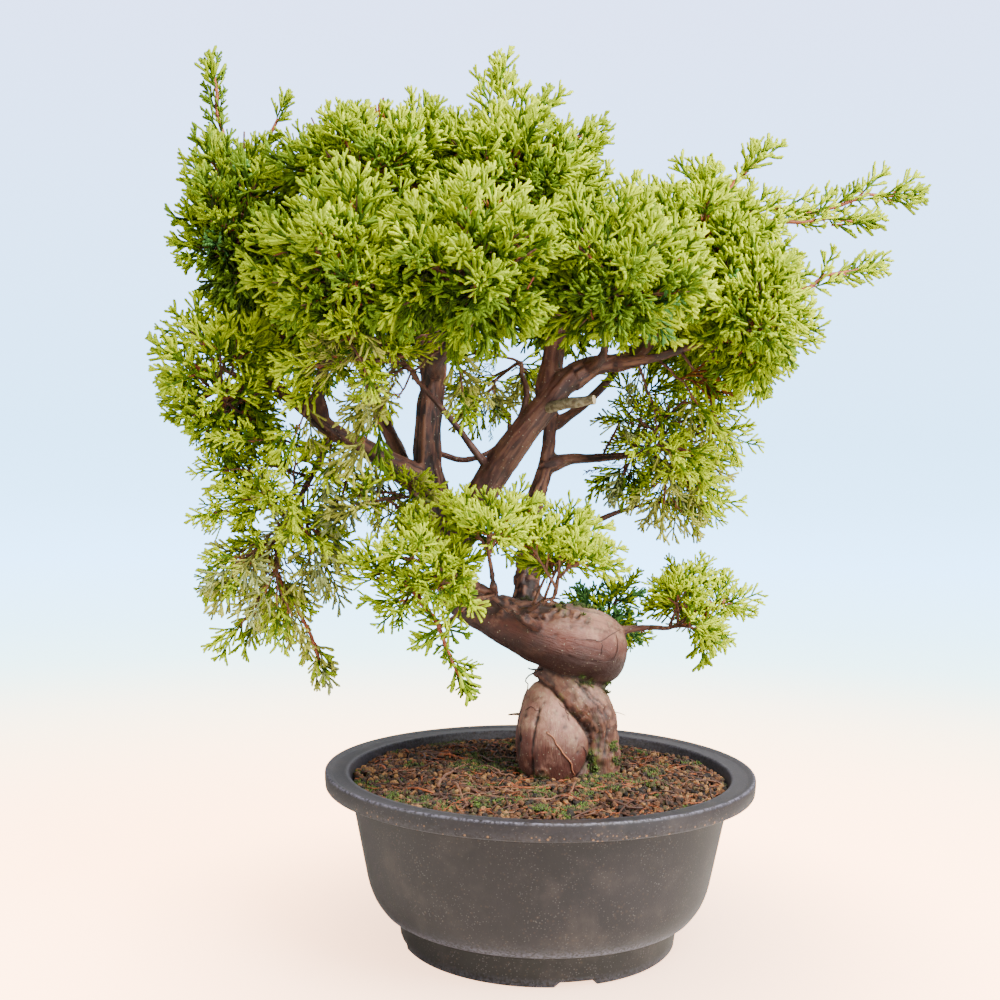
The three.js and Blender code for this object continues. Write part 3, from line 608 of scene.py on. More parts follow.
class Bench:
    """Places shader nodes in one tree and joins them."""

    def __init__(self, tree: bpy.types.NodeTree) -> None:
        """Works in a node tree."""
        self.tree = tree

    def node(self, kind: str, values: dict | None = None, **settings: object) -> bpy.types.Node:
        """Adds a node.

        Args:
            kind: The node's type without its prefix, such as TexNoise.
            values: What goes in its sockets, by name or number: a value or another node's socket.
            settings: The node's own settings.

        Returns:
            The node.
        """
        made = self.tree.nodes.new("ShaderNode" + kind)
        for name, setting in settings.items():
            setattr(made, name, setting)
        for name, value in (values or {}).items():
            if isinstance(value, Socket):
                self.tree.links.new(value, made.inputs[name])
            else:
                made.inputs[name].default_value = value
        return made

    def noise(self, where: Socket, scale: object, detail: float = 3.0, rough: object = 0.5) -> Socket:
        """A noise's value, from 0 to 1, with scale swings to a metre."""
        values = {"Vector": where, "Scale": scale, "Detail": detail, "Roughness": rough}
        return self.node("TexNoise", values).outputs["Fac"]

    def mask(self, value: Socket, low: float, high: float) -> Socket:
        """A smooth step from 0 at low to 1 at high."""
        sockets = {"Value": value, "From Min": low, "From Max": high}
        return self.node("MapRange", sockets, interpolation_type="SMOOTHSTEP").outputs["Result"]

    def sum(self, operation: str, a: object, b: object) -> Socket:
        """Two values put together by a Math operation."""
        return self.node("Math", {0: a, 1: b}, operation=operation).outputs[0]

    def times(self, a: object, b: object) -> Socket:
        """The product of two values."""
        return self.sum("MULTIPLY", a, b)

    def blend(self, factor: object, a: object, b: object) -> Socket:
        """Two colours mixed by a factor."""
        return self.node("Mix", {0: factor, 6: a, 7: b}, data_type="RGBA").outputs[2]

    def attribute(self, name: str, output: str = "Fac") -> Socket:
        """A value that the mesh holds at its points."""
        return self.node("Attribute", attribute_name=name).outputs[output]

    def place(self) -> Socket:
        """The place on the piece."""
        return self.node("TexCoord").outputs["Object"]

    def mottle(self, where: Socket, colour: object, patch: Colour, size: float, cover: float) -> Socket:
        """A colour with soft patches of another, by the shared effect."""
        values = {"Where": where, "Colour": colour, "Second": rgba(patch), "Size": size, "Cover": cover}
        return self.node("Group", values, node_tree=EFFECTS.mottle).outputs["Colour"]

    def specks(self, where: Socket, colour: object, speck: Colour, size: float, cover: float) -> object:
        """A colour with small specks of another, by the shared effect, and the specks' mask."""
        values = {"Where": where, "Colour": colour, "Second": rgba(speck), "Size": size, "Cover": cover}
        return self.node("Group", values, node_tree=EFFECTS.specks).outputs


class Effects:
    """The shader effects that several materials share, each built once, when it is first used."""

    GIVEN = {"Where": "Vector", "Colour": "Color", "Second": "Color", "Size": "Float", "Cover": "Float"}
    MADE = {"Colour": "Color", "Mask": "Float"}

    @staticmethod
    def _group(name: str, inputs: dict[str, str], outputs: dict[str, str]) -> tuple:
        """Starts a node group.

        Args:
            name: The group's name.
            inputs: The kind of each named input: Float, Color or Vector.
            outputs: The same for the outputs.

        Returns:
            The group, its bench, its inputs and what it puts out.
        """
        group = bpy.data.node_groups.new(name, "ShaderNodeTree")
        for way, sockets in (("INPUT", inputs), ("OUTPUT", outputs)):
            for socket, kind in sockets.items():
                group.interface.new_socket(name=socket, in_out=way, socket_type="NodeSocket" + kind)
        source = group.nodes.new("NodeGroupInput")
        return group, Bench(group), source.outputs, group.nodes.new("NodeGroupOutput").inputs

    @staticmethod
    def _spread(started: tuple, mask: Socket) -> bpy.types.NodeTree:
        """Finishes a group that spreads a second colour over the first by a mask.

        Args:
            started: What the group was started with.
            mask: How much of the second colour shows.

        Returns:
            The group.
        """
        group, bench, given, made = started
        group.links.new(bench.blend(mask, given["Colour"], given["Second"]), made["Colour"])
        group.links.new(mask, made["Mask"])
        return group

    @cached_property
    def mottle(self) -> bpy.types.NodeTree:
        """Soft patches of a second colour.

        Returns:
            The group.
        """
        started = self._group("mottle", self.GIVEN, self.MADE)
        _, bench, given, _ = started
        edge = bench.sum("SUBTRACT", 0.78, bench.times(given["Cover"], 0.5))
        noise = bench.noise(given["Where"], given["Size"], 5.0, 0.62)
        return self._spread(started, bench.mask(bench.sum("SUBTRACT", noise, edge), -0.12, 0.14))

    @cached_property
    def specks(self) -> bpy.types.NodeTree:
        """Small specks of dust or lichen in a second colour.

        Returns:
            The group.
        """
        started = self._group("specks", self.GIVEN, self.MADE)
        _, bench, given, _ = started
        cells = bench.node("TexVoronoi", {"Vector": given["Where"], "Scale": given["Size"]})
        wide = bench.times(given["Cover"], bench.noise(given["Where"], 90.0, 4.0))
        spots = bench.sum("SUBTRACT", wide, cells.outputs["Distance"])
        return self._spread(started, bench.mask(spots, 0.0, 0.12))

    @cached_property
    def grain(self) -> bpy.types.NodeTree:
        """Fine uneven relief, with a Height from 0 to 1.

        Returns:
            The group.
        """
        inputs = {"Where": "Vector", "Size": "Float", "Rough": "Float"}
        group, bench, given, made = self._group("grain", inputs, {"Height": "Float"})
        group.links.new(bench.noise(given["Where"], given["Size"], 6.0, given["Rough"]), made["Height"])
        return group


EFFECTS = Effects()


@dataclass(frozen=True)
class Finish:
    """A plain mottled finish that other finishes build on."""

    name: str
    colour: Colour
    patch: Colour
    size: float
    cover: float = 0.5
    roughness: float = 0.7
    relief: float = 0.3
    relief_size: float = 900.0
    shine: float = 0.5

    def material(self) -> bpy.types.Material:
        """Makes the material.

        Returns:
            The material.
        """
        made = bpy.data.materials.new(self.name)
        made.use_nodes = True
        bench = Bench(made.node_tree)
        shader = made.node_tree.nodes["Principled BSDF"]
        where = self.where(bench)
        made.node_tree.links.new(self.dress(bench, where), shader.inputs["Base Color"])
        grain = {"Where": where, "Size": self.relief_size, "Rough": 0.6}
        height = bench.node("Group", grain, node_tree=EFFECTS.grain).outputs["Height"]
        bump = bench.node("Bump", {"Height": height, "Strength": self.relief, "Distance": 0.0006})
        made.node_tree.links.new(bump.outputs["Normal"], shader.inputs["Normal"])
        shader.inputs["Roughness"].default_value = self.roughness
        shader.inputs["Specular IOR Level"].default_value = self.shine
        return made

    def where(self, bench: Bench) -> Socket:
        """Where the pattern is read."""
        return bench.place()

    def dress(self, bench: Bench, where: Socket) -> Socket:
        """The colour over the surface."""
        return bench.mottle(where, rgba(self.colour), self.patch, self.size, self.cover)


@dataclass(frozen=True)
class BarkFinish(Finish):
    """Bark: fibrous brown plates, smooth plum skin over the foot, cracks, moss and lichen."""

    skin: Colour = (82, 37, 24)
    # The pale skin tint gives both pale patches and a painted highlight on upper faces.
    skin_pale_and_top_light: Colour = (148, 104, 87)
    # The dark skin tint gives both dark wrinkle lines and painted shade on undersides.
    skin_dark_and_under_shade: Colour = (38, 16, 10)
    plate_pale: Colour = (118, 77, 55)
    gap: Colour = (34, 18, 13)
    crack: Colour = (30, 17, 13)
    moss: Colour = (74, 84, 18)
    lichen: Colour = (140, 134, 110)
    film: Colour = (150, 122, 94)

    def where(self, bench: Bench) -> Socket:
        """Where the pattern is read: along the fibres."""
        return bench.attribute("fibre", "Vector")

    def plates(self, bench: Bench, where: Socket) -> Socket:
        """The colour of the flaky bark.

        Args:
            bench: The material's bench.
            where: Where the fibres are read.

        Returns:
            The colour's socket.
        """
        high = bench.attribute("high")
        fibres = bench.noise(where, 520.0, 5.0)
        lit = bench.mask(bench.times(high, fibres), 0.26, 0.46)
        pale = bench.blend(lit, super().dress(bench, where), rgba(self.plate_pale))
        split = bench.sum("ADD", bench.mask(high, 0.42, 0.2), bench.mask(fibres, 0.44, 0.34))
        return bench.blend(bench.node("Clamp", {0: split}).outputs[0], pale, rgba(self.gap))

    def smooth_skin(self, bench: Bench, where: Socket, place: Socket) -> Socket:
        """The colour of the smooth skin over the foot, painted paler on upper faces as highlight and darker
        on undersides as shade.

        Args:
            bench: The material's bench.
            where: Where the fibres are read.
            place: The place on the piece.

        Returns:
            The colour's socket.
        """
        # Painted highlight: upper faces are blended towards the pale skin tint by the top mask, as if lit
        # from above; only the mottled patches beneath are weathering.
        top = bench.attribute("top")
        weathered = bench.blend(top, bench.mottle(place, rgba(self.skin), self.skin_pale_and_top_light, 110.0, 0.26),
                                rgba(self.skin_pale_and_top_light))
        # Painted shade: undersides are darkened by the under mask, together with the real dark wrinkle
        # lines.
        lines = bench.times(bench.mask(bench.noise(where, 300.0, 4.0), 0.5, 0.68), 0.6)
        lines_and_under_shade = bench.sum("MAXIMUM", lines, bench.attribute("under"))
        # The pale film is laid only on the upper faces that carry the painted highlight.
        film = bench.times(bench.noise(place, 520.0, 8.0), bench.noise(place, 130.0, 6.0))
        filmed = bench.times(bench.mask(film, 0.16, 0.42), top)
        return bench.blend(filmed, bench.blend(lines_and_under_shade, weathered, rgba(self.skin_dark_and_under_shade)), rgba(self.film))

    def dress(self, bench: Bench, where: Socket) -> Socket:
        """The colour over the bark.

        Args:
            bench: The material's bench.
            where: Where the fibres are read.

        Returns:
            The colour's socket.
        """
        place = bench.place()
        skin = self.smooth_skin(bench, where, place)
        colour = bench.blend(bench.attribute("smooth"), self.plates(bench, where), skin)
        dusty = bench.specks(place, colour, self.lichen, 520.0, 0.32)["Colour"]
        cracked = bench.blend(bench.attribute("crack"), dusty, rgba(self.crack))
        mossy = bench.times(bench.attribute("moss"), bench.mask(bench.noise(place, 420.0, 5.0), 0.38, 0.6))
        return bench.blend(mossy, cracked, rgba(self.moss))


@dataclass(frozen=True)
class PotFinish(Finish):
    """Matte charcoal plastic, scuffed pale along its edges with a painted highlight along the rim's top
    edge, darker towards the foot, with dust and lime on the wall.
    """

    scuff_and_rim_highlight: Colour = (96, 94, 108)
    dust: Colour = (136, 98, 64)
    lime: Colour = (46, 39, 37)
    speck: Colour = (60, 54, 54)
    foot_darkening: Colour = (10, 6, 4)

    def dress(self, bench: Bench, where: Socket) -> Socket:
        """The colour over the pot.

        Args:
            bench: The material's bench.
            where: Where the pattern is read.

        Returns:
            The colour's socket.
        """
        # Darker towards the foot.
        foot = bench.blend(bench.attribute("foot"), super().dress(bench, where), rgba(self.foot_darkening))
        haze = bench.mottle(where, foot, self.lime, 32.0, 0.36)
        fine = bench.specks(where, haze, self.speck, 760.0, 0.46)["Colour"]
        # Partly real scuffing, partly a painted highlight: the edge mask, strongest along the rim's top
        # outer edge, blends in a pale blue-grey.
        worn_and_highlit = bench.times(bench.attribute("edge"), bench.mask(bench.noise(where, 800.0, 10.0), 0.36, 0.62))
        scuffed = bench.blend(worn_and_highlit, fine, rgba(self.scuff_and_rim_highlight))
        dusted = bench.specks(where, scuffed, self.dust, 420.0, 0.5)["Mask"]
        return bench.blend(bench.times(dusted, bench.attribute("dusty")), scuffed, rgba(self.dust))


class LeafKind(Enum):
    """A tint of foliage: what its cords and its tips are coloured."""

    LEMON = ((86, 116, 20), (178, 198, 18))
    LIME = ((70, 98, 20), (142, 164, 18))
    GREEN = ((52, 76, 20), (98, 126, 22))
    DEEP = ((42, 54, 20), (66, 88, 24))
    SHADE = ((40, 42, 20), (52, 58, 22))
    OLIVE = ((120, 122, 56), (170, 172, 74))
    GREY = ((112, 122, 76), (152, 162, 98))
    DEAD = ((96, 54, 24), (134, 80, 34))
    JADE = ((56, 100, 54), (98, 150, 76))


LEAF_KINDS = list(LeafKind)


@dataclass(frozen=True)
class Habit:
    """How a spray's cords fork, and how thick they are."""

    shoots: int
    fingers: int
    lean: float
    turn: float
    side: float
    cord: float
    needles: int = 0


class Style(Enum):
    """The kinds of spray."""

    BUSHY = Habit(6, 2, 0.70, 2.4, 0.46, 0.94)
    FAN = Habit(6, 2, 0.68, math.pi, 0.52, 0.86)
    SHORT = Habit(6, 2, 0.72, 2.4, 0.48, 1.15)
    SPARSE = Habit(6, 1, 0.70, math.pi, 0.48, 0.74)
    INNER = Habit(4, 1, 0.75, 2.4, 0.50, 0.95)
    NEEDLE = Habit(0, 0, 0.9, 2.4, 0.17, 0.36, 30)


STYLES = list(Style)
SPRAY_LENGTH = 28.0
SPRAY_VARIANTS = 10


class SprayForms:
    """Ready grown sprays of each style, pointing along +Z, to be copied over the crown."""

    def __init__(self) -> None:
        """Grows every variant of every style."""
        self.forms = {}
        for number, style in enumerate(STYLES):
            for variant in range(SPRAY_VARIANTS):
                rng = np.random.default_rng(100 * number + variant)
                self.forms[number, variant] = self._grow(style.value, rng)

    @staticmethod
    def _join(lines: list[tuple]) -> tuple[Array, Array, Array]:
        """Tubes and clubs along lines of places and radii, as one form.

        Args:
            lines: A centre line and its radii for each tube, or its one radius for a club.

        Returns:
            The form's points, its triangles, and which of these are its young tips.
        """
        shape = Shape()
        for centres, radii in lines:
            if len(radii) == 1:
                points, faces = spindles(centres[0][None], centres[1][None], np.array(radii))
                tips = np.arange(6) > 2
            else:
                points, faces = tubes(np.array(centres)[None], np.array(radii, float)[None], 3, 0.9, False)
                tips = np.arange(len(faces)) >= 6 * (len(radii) - 2)
            shape.add(points, faces, tips.astype(int)[None])
        return np.concatenate(shape.points), np.concatenate(shape.faces), np.concatenate(shape.tints)

    def _grow(self, habit: Habit, rng: Dice) -> dict:
        """Grows one spray: a shaft, shoots all along it, and fingers or needles on them.

        Args:
            habit: How it forks.
            rng: Its random numbers.

        Returns:
            The points, triangles and tips of its twig and of its leaf cords.
        """
        length, cord = SPRAY_LENGTH, habit.cord
        sway = rng.normal(0, 0.03, (6, 2)) * length
        sway[0] = 0
        heights = np.array([0, 0.22, 0.42, 0.62, 0.8, 0.96]) * length
        shaft = np.column_stack([np.cumsum(sway, axis=0) * 0.5, heights])
        twig = [(shaft[:2], (0.6 * cord, 0.55 * cord))]
        lines = [(shaft[1:], (0.7 * cord, 0.8 * cord, 0.86 * cord, 0.9 * cord, cord))]
        phase = rng.uniform(0, 2 * math.pi)
        for k in range(habit.shoots):
            h = mix(0.1, 0.9, (k + 0.5 * rng.random()) / habit.shoots)
            out = leant(phase + k * habit.turn + rng.normal(0, 0.26), math.pi / 2)
            lean = habit.lean * (1.15 - 0.3 * h) + rng.normal(0, 0.08)
            lines += self._shoot(smooth_line(shaft, np.array([h]))[0], out, lean, h, habit, rng)
        for k in range(habit.needles):
            h = mix(0.1, 0.98, (k + 0.5 * rng.random()) / habit.needles)
            way = leant(phase + k * habit.turn, habit.lean * (1.1 - 0.5 * h))
            root = smooth_line(shaft, np.array([h]))[0]
            lines.append(((root, root + way * length * habit.side * (1.1 - 0.4 * h)), (cord,)))
        return {"twig": self._join(twig), "leaf": self._join(lines)}

    @staticmethod
    def _shoot(root: Array, out: Array, lean: float, h: float, habit: Habit,
               rng: Dice) -> list[tuple]:
        """Grows one shoot of a spray, bent up towards its tip, with its fingers.

        Args:
            root: Where it leaves the shaft.
            out: The way it stands off, level.
            lean: Its angle to the shaft.
            h: How far up the shaft it is, from 0 to 1.
            habit: How it forks.
            rng: Random numbers.

        Returns:
            Its lines, each with its radii.
        """
        cord = habit.cord
        way = out * math.sin(lean) + UP * math.cos(lean)
        reach = SPRAY_LENGTH * habit.side * (1.14 - 0.78 * h) * rng.uniform(0.82, 1.15)
        middle = root + way * reach * 0.5
        end = middle + unit(way + 0.4 * UP + rng.normal(0, 0.12, 3)) * reach * 0.5
        lines = [((root, middle, end), (0.7 * cord, 0.88 * cord, cord))]
        lateral = unit(np.cross(way, out + 0.3 * UP))
        sign = 1 if rng.random() < 0.5 else -1
        for j in range(habit.fingers):
            u = 0.26 + (0.5 / habit.fingers) * j + rng.uniform(-0.03, 0.07)
            joint = mix(root, middle, u * 2) if u < 0.5 else mix(middle, end, u * 2 - 1)
            aim = unit(way + sign * lateral * rng.uniform(0.5, 0.8) + UP * rng.uniform(0.1, 0.4))
            size = max(4.2, reach * rng.uniform(0.62, 0.86) * (1.15 - 0.5 * u))
            lines.append(((joint, joint + aim * size), (0.66 * cord, cord)))
            sign = -sign
        return lines


@dataclass
class Spray:
    """One spray before it is made."""

    root: Array
    axis: Array
    length: float
    bend: float
    style: Style
    kind: LeafKind


# Fine twigs beside the masses, as (foot, tip), under the mass whose sprays they bear
TRAILS = {
    "foliage_right_hanging": (((45, 10, 211), (80, 4, 214)), ((44, -9, 284), (56, -6, 246)),
        ((64, -22, 286), (84, -12, 252)), ((54, -14, 283), (72, -20, 262)), ((30, 26, 236), (46, -4, 262))),
    "foliage_left_low_front": (((-70, -35, 268), (-80, -58, 240)), ((-48, -34, 284), (-64, -74, 258)),
        ((-44, -38, 290), (-36, -66, 262)), ((-96, -39, 292), (-76, -84, 268)),
        ((-100, -24, 282), (-112, -52, 244))),
    "foliage_inner_left": (((-90, -8, 238), (-94, -34, 212)), ((-104, -13, 246), (-98, -44, 230)),
        ((-72, -1, 229), (-62, -30, 214))),
    "foliage_left_hanging": (((-112, -18, 224), (-150, -36, 226)), ((-107, -15, 235), (-136, -44, 240)),
        ((-116, -20, 214), (-120, -48, 214)), ((-116, -20, 214), (-106, -40, 190))),
    "foliage_pad_right": (((1, -50, 169), (10, -56, 190)), ((-4, -43, 166), (12, -38, 196))),
    "foliage_pad_left": (((-22, -44, 171), (-44, -70, 158)), ((-28, -46, 174), (-36, -70, 168))),
}


@dataclass
class Crown:
    """All the foliage: where its masses are, and the pieces that their twigs and sprays go into."""

    limbs: Limbs
    forms: SprayForms
    twig_bow: float = 0.06
    bare_girth: Pair = (0.75, 0.35)
    bare_needles: int = 22
    bare_twigs: tuple = (
        ((-92, -16, 233), (-99, -34, 204)), ((-84, -12, 230), (-90, -36, 200)),
        ((-76, -8, 227), (-80, -38, 202)), ((-101, -18, 240), (-96, -40, 222)),
    )

    def __post_init__(self) -> None:
        """Lays out the masses as arrays, and the empty pieces."""
        self.at = np.array([m.at for m in MASSES], float)
        self.reach = np.array([m.reach for m in MASSES], float)
        self.box = np.array([[c / MM for c in corner] for corner in cad_box])
        self.leaves = {region: Shape() for region in Region}
        self.wood, self.young = Shape(), Shape()

    def outside(self, points: Array) -> Array:
        """How far points lie outside each mass's reach, of shape (n, masses), negative inside."""
        offset = (points[:, None] - self.at) / self.reach
        return (norm(offset, axis=2) - 1) * self.reach.min(axis=1)

    def twig(self, foot: Place, tip: Place, girth: Pair, rng: Dice, young: bool = False) -> Array:
        """Adds a twig between two ends, risen in the middle as in the source.

        Args:
            foot: Where it starts.
            tip: Where it ends.
            girth: Its radius at its foot and its tip.
            rng: Random numbers for its small crooks.
            young: Whether it is orange young growth rather than brown wood.

        Returns:
            Places along it, of shape (7, 3).
        """
        a, b = np.array(foot, float), np.array(tip, float)
        t = np.linspace(0, 1, 7)
        length = float(norm(b - a))
        places = a + (b - a) * t[:, None]
        places[:, 2] += self.twig_bow * length * (1 - (2 * t - 1) ** 2)
        places += rng.normal(0, 0.02 * length, places.shape) * np.sin(np.pi * t)[:, None]
        (self.young if young else self.wood).add(*tubes(places[None], mix(*girth, t)[None], 5))
        return places

    def bare(self) -> None:
        """Grows the bare twigs, with the remains of needles all along them."""
        rng = np.random.default_rng(77)
        count = self.bare_needles
        for foot, tip in self.bare_twigs:
            places = self.twig(foot, tip, self.bare_girth, rng)
            roots = smooth_line(places, np.linspace(0.2, 0.99, count))
            ways = unit(rng.normal(0, 1, (count, 3)) + 0.5 * unit(places[-1] - places[0]))
            tips = roots + ways * rng.uniform(2.2, 4.4, count)[:, None]
            self.wood.add(*spindles(roots, tips, np.full(count, 0.34)))

    def build(self) -> None:
        """Grows every mass, makes the pieces and puts them on the part."""
        for number in range(len(MASSES)):
            MassGrowth(self, number).grow()
        self.bare()
        finishes = [self.leaf(kind, part) for part in (0, 1) for kind in LEAF_KINDS]
        for region in Region:
            names = [m.name for m in MASSES if m.region is region]
            settle(self.leaves[region].build(f"leaves_{region.value}", finishes), names)
        young = Finish("young_twig", (142, 66, 22), (98, 44, 20), 500.0, 0.5, 0.6)
        wood = Finish("woody_twig", (84, 52, 36), (118, 80, 58), 420.0, 0.5, 0.8)
        for shape, name, finish in ((self.young, "young_twigs", young), (self.wood, "woody_twigs", wood)):
            settle(shape.build(name, [finish.material()]), [m.name for m in MASSES])

    @staticmethod
    def leaf(kind: LeafKind, part: int) -> bpy.types.Material:
        """The material of one tint.

        Args:
            kind: The tint.
            part: 0 for the cords, 1 for their tips.

        Returns:
            The material.
        """
        colour = kind.value[part]
        name = f"{kind.name.lower()}_{('cords', 'tips')[part]}"
        darker = tuple(0.82 * c for c in colour)
        return Finish(name, colour, darker, 1100.0, 0.5, 0.55, 0.25, 1600.0, 0.06).material()


@dataclass
class MassGrowth:
    """One mass of foliage, grown on from its bough by the source's rule and carried to finer twigs."""

    crown: Crown
    number: int
    tuft_spacing: float = 34.0
    limb_margin: float = 1.2
    spray_limb_margin: float = 0.4
    leader_margin: float = 2.0
    leader_step: float = 5.6
    trail_step: float = 9.5
    trail_length: float = 23.0
    frond: float = 25.0
    lumps: float = 0.16
    gap: float = 0.3
    overlap: float = -12.0
    blend: float = 12.0
    tuft_sprays: int = 7
    small_tufts: float = 1.35
    small_sprays: int = 4
    fill_share: float = 2.1
    least_spray: float = 9.0
    open_spaces: tuple = (
        ((-14, -130, 118), (50, -18, 178)), ((4, -130, 250), (76, -13, 281)),
        ((-200, -130, 110), (-165, 130, 246)), ((-64, -130, 228), (-46, -3, 276)),
        ((-158, -130, 388), (-133, 130, 470)), ((-120, -130, 390), (-98, 130, 470)),
    )

    def __post_init__(self) -> None:
        """Finds its mass and its place, lays its stem and seeds its random numbers."""
        self.mass = MASSES[self.number]
        self.at, self.reach = self.crown.at[self.number], self.crown.reach[self.number]
        self.hangs, self.low_pad = self.mass.rise < 0, self.mass.region is Region.LOW
        self.thin = 0.5 if self.mass.name == "foliage_left_outer" else 1.0
        self.bough = next(b for b in BOUGHS if b.name == self.mass.bough)
        tip, before = smooth_line(np.array(self.bough.path), np.array([1.0, 0.98]))
        onward = unit(tip - before)
        start = tip + onward * self.gap
        self.stem = np.array([start, start + onward * 0.35 * norm(self.at - start), self.at])
        self.rng = np.random.default_rng(2000 + self.number)

    def in_own_space(self, points: Array, margin: float) -> Array:
        """Whether points are nearer to this mass than to any other, by twice a margin.

        Args:
            points: Places of shape (n, 3).
            margin: The margin, negative where masses may reach into each other.

        Returns:
            Which points are, of shape (n,).
        """
        gaps = self.crown.outside(points)
        own = gaps[:, self.number].copy()
        gaps[:, self.number] = np.inf
        return gaps.min(axis=1) > own + 2 * margin

    def place_in(self, directions: Array, shares: Array) -> Array:
        """Places in the mass, in directions and at shares of its reach."""
        return self.at + self.reach * directions * np.asarray(shares)[..., None]

    def free_shares(self, directions: Array, limits: Array) -> Array:
        """The largest shares of its reach that the mass has free; it may fill the notch to a neighbour.

        Args:
            directions: Directions of shape (n, 3).
            limits: How much of the way out each may go, of shape (n,).

        Returns:
            Shares of shape (n,).
        """
        steps = np.arange(-0.12, 0.86, 0.04)
        shares = limits[:, None] - steps
        points = self.place_in(directions[:, None], shares).reshape(-1, 3)
        gaps = self.crown.outside(points)
        blended = -self.blend * np.log(np.sum(np.exp(-np.clip(gaps, -60, 90) / self.blend), axis=1))
        depth = np.repeat((1 - limits) * self.reach.min(), len(steps))
        free = np.where(shares.ravel() > limits.repeat(len(steps)) + 0.01, blended < -depth, True)
        free = free & self.in_own_space(points, 0.5 * self.overlap)
        free &= self.crown.limbs.clear(points, self.limb_margin)
        free = free.reshape(shares.shape) & (shares > 0.15)
        free[:, -1] = True
        return shares[np.arange(len(shares)), np.argmax(free, axis=1)]

    def tufts(self) -> tuple[Array, Array, Array]:
        """The source's tufts of the mass.

        Returns:
            Their directions, how far each stretches, and its turn.
        """
        random = SeededRandom(1000 + self.number)
        size = float(np.prod(self.reach)) ** (1 / 3)
        count = round(9.3 * size * size / self.tuft_spacing**2)
        directions = even_directions(count, 2 * math.pi * random())
        pairs = np.array([(0.9 + 0.1 * random(), math.pi * random()) for _ in range(count)])
        return directions, pairs[:, 0], pairs[:, 1]

    def kind_of(self, place: Array, axis: Array, tone: float, depth: float) -> LeafKind:
        """The tint of a spray, by the light on it and the mass's habit.

        Args:
            place: Where the light is judged.
            axis: The spray's direction.
            tone: How much lighter its whole tuft is.
            depth: How deep it is, from 0 at the outside to 1.

        Returns:
            The tint.
        """
        high = (place[2] - 300) / 120
        light = 0.62 + 0.16 * axis[2] + 0.08 * high + 0.18 * self.low_pad - depth + tone
        light += 0.14 * self.hangs + 0.2 * (place[0] > 45) + self.rng.normal(0, 0.09)
        light += (0.16 if place[2] < 310 else -0.2) * (place[0] < -100)
        if self.rng.random() < 0.003 + 0.02 * self.hangs:
            return LeafKind.DEAD
        if self.rng.random() < (0.7 if self.mass.name == "foliage_behind_coil" else 0.06 * (light < 0.52)):
            return LeafKind.JADE
        if self.hangs and light < 0.8 and self.rng.random() < 0.68:
            return LeafKind.OLIVE if self.rng.random() < 0.75 else LeafKind.GREY
        steps = ((0.8, LeafKind.LEMON), (0.55, LeafKind.LIME), (0.3, LeafKind.GREEN), (0.05, LeafKind.DEEP))
        return next((kind for least, kind in steps if light > least), LeafKind.SHADE)

    def spray(self, place: Array, back: float, axis: Array, length: float, bend: float, style: Style,
              tone: float, depth: float = 0.0) -> Spray:
        """A spray rooted a way back from a place, with the tint that the place, tone and depth give it."""
        return Spray(place - axis * back, axis, length, bend, style, self.kind_of(place, axis, tone, depth))

    def fitted(self, sprays: list[Spray], leader: bool) -> list[Spray]:
        """Shortens the sprays that leave the mass's space or touch a limb, and drops what won't fit.

        Args:
            sprays: The sprays.
            leader: Whether they sit on a leader, past the mass's own reach.

        Returns:
            The sprays that fit.
        """
        if not sprays:
            return []
        roots = np.array([s.root for s in sprays])
        lengths = np.array([s.length for s in sprays])
        bends = np.array([s.bend for s in sprays])
        frames = turned_frames(np.array([s.axis for s in sprays]), np.zeros(len(sprays)))
        wide, high = 0.32, 0.75
        probes = [[0, 0, 1.0], [wide, 0, high], [-wide, 0, high], [0, wide, high], [0, -wide, high]]
        probes = np.array(probes)
        ways = np.einsum("nij,mj->nmi", frames, probes)
        ways[:, :, 2] += bends[:, None] * probes[:, 2] ** 2
        for _ in range(4):
            points = (roots[:, None] + ways * lengths[:, None, None]).reshape(-1, 3)
            if leader:
                gaps = self.crown.outside(points)
                gaps[:, self.number] = np.inf
                free = gaps.min(axis=1) > self.leader_margin + 2 * self.overlap
            else:
                free = self.in_own_space(points, self.overlap)
            free &= self.crown.limbs.clear(points, self.spray_limb_margin)
            free &= np.all((points > self.crown.box[0]) & (points < self.crown.box[1]), axis=1)
            for low, top in self.open_spaces:
                free &= np.any((points < low) | (points > top), axis=1)
            fits = free.reshape(len(sprays), -1).all(axis=1)
            lengths = np.where(fits, lengths, 0.82 * lengths)
        for spray, length in zip(sprays, lengths):
            spray.length = float(length)
        return [s for s, fit in zip(sprays, fits) if fit and s.length > self.least_spray]

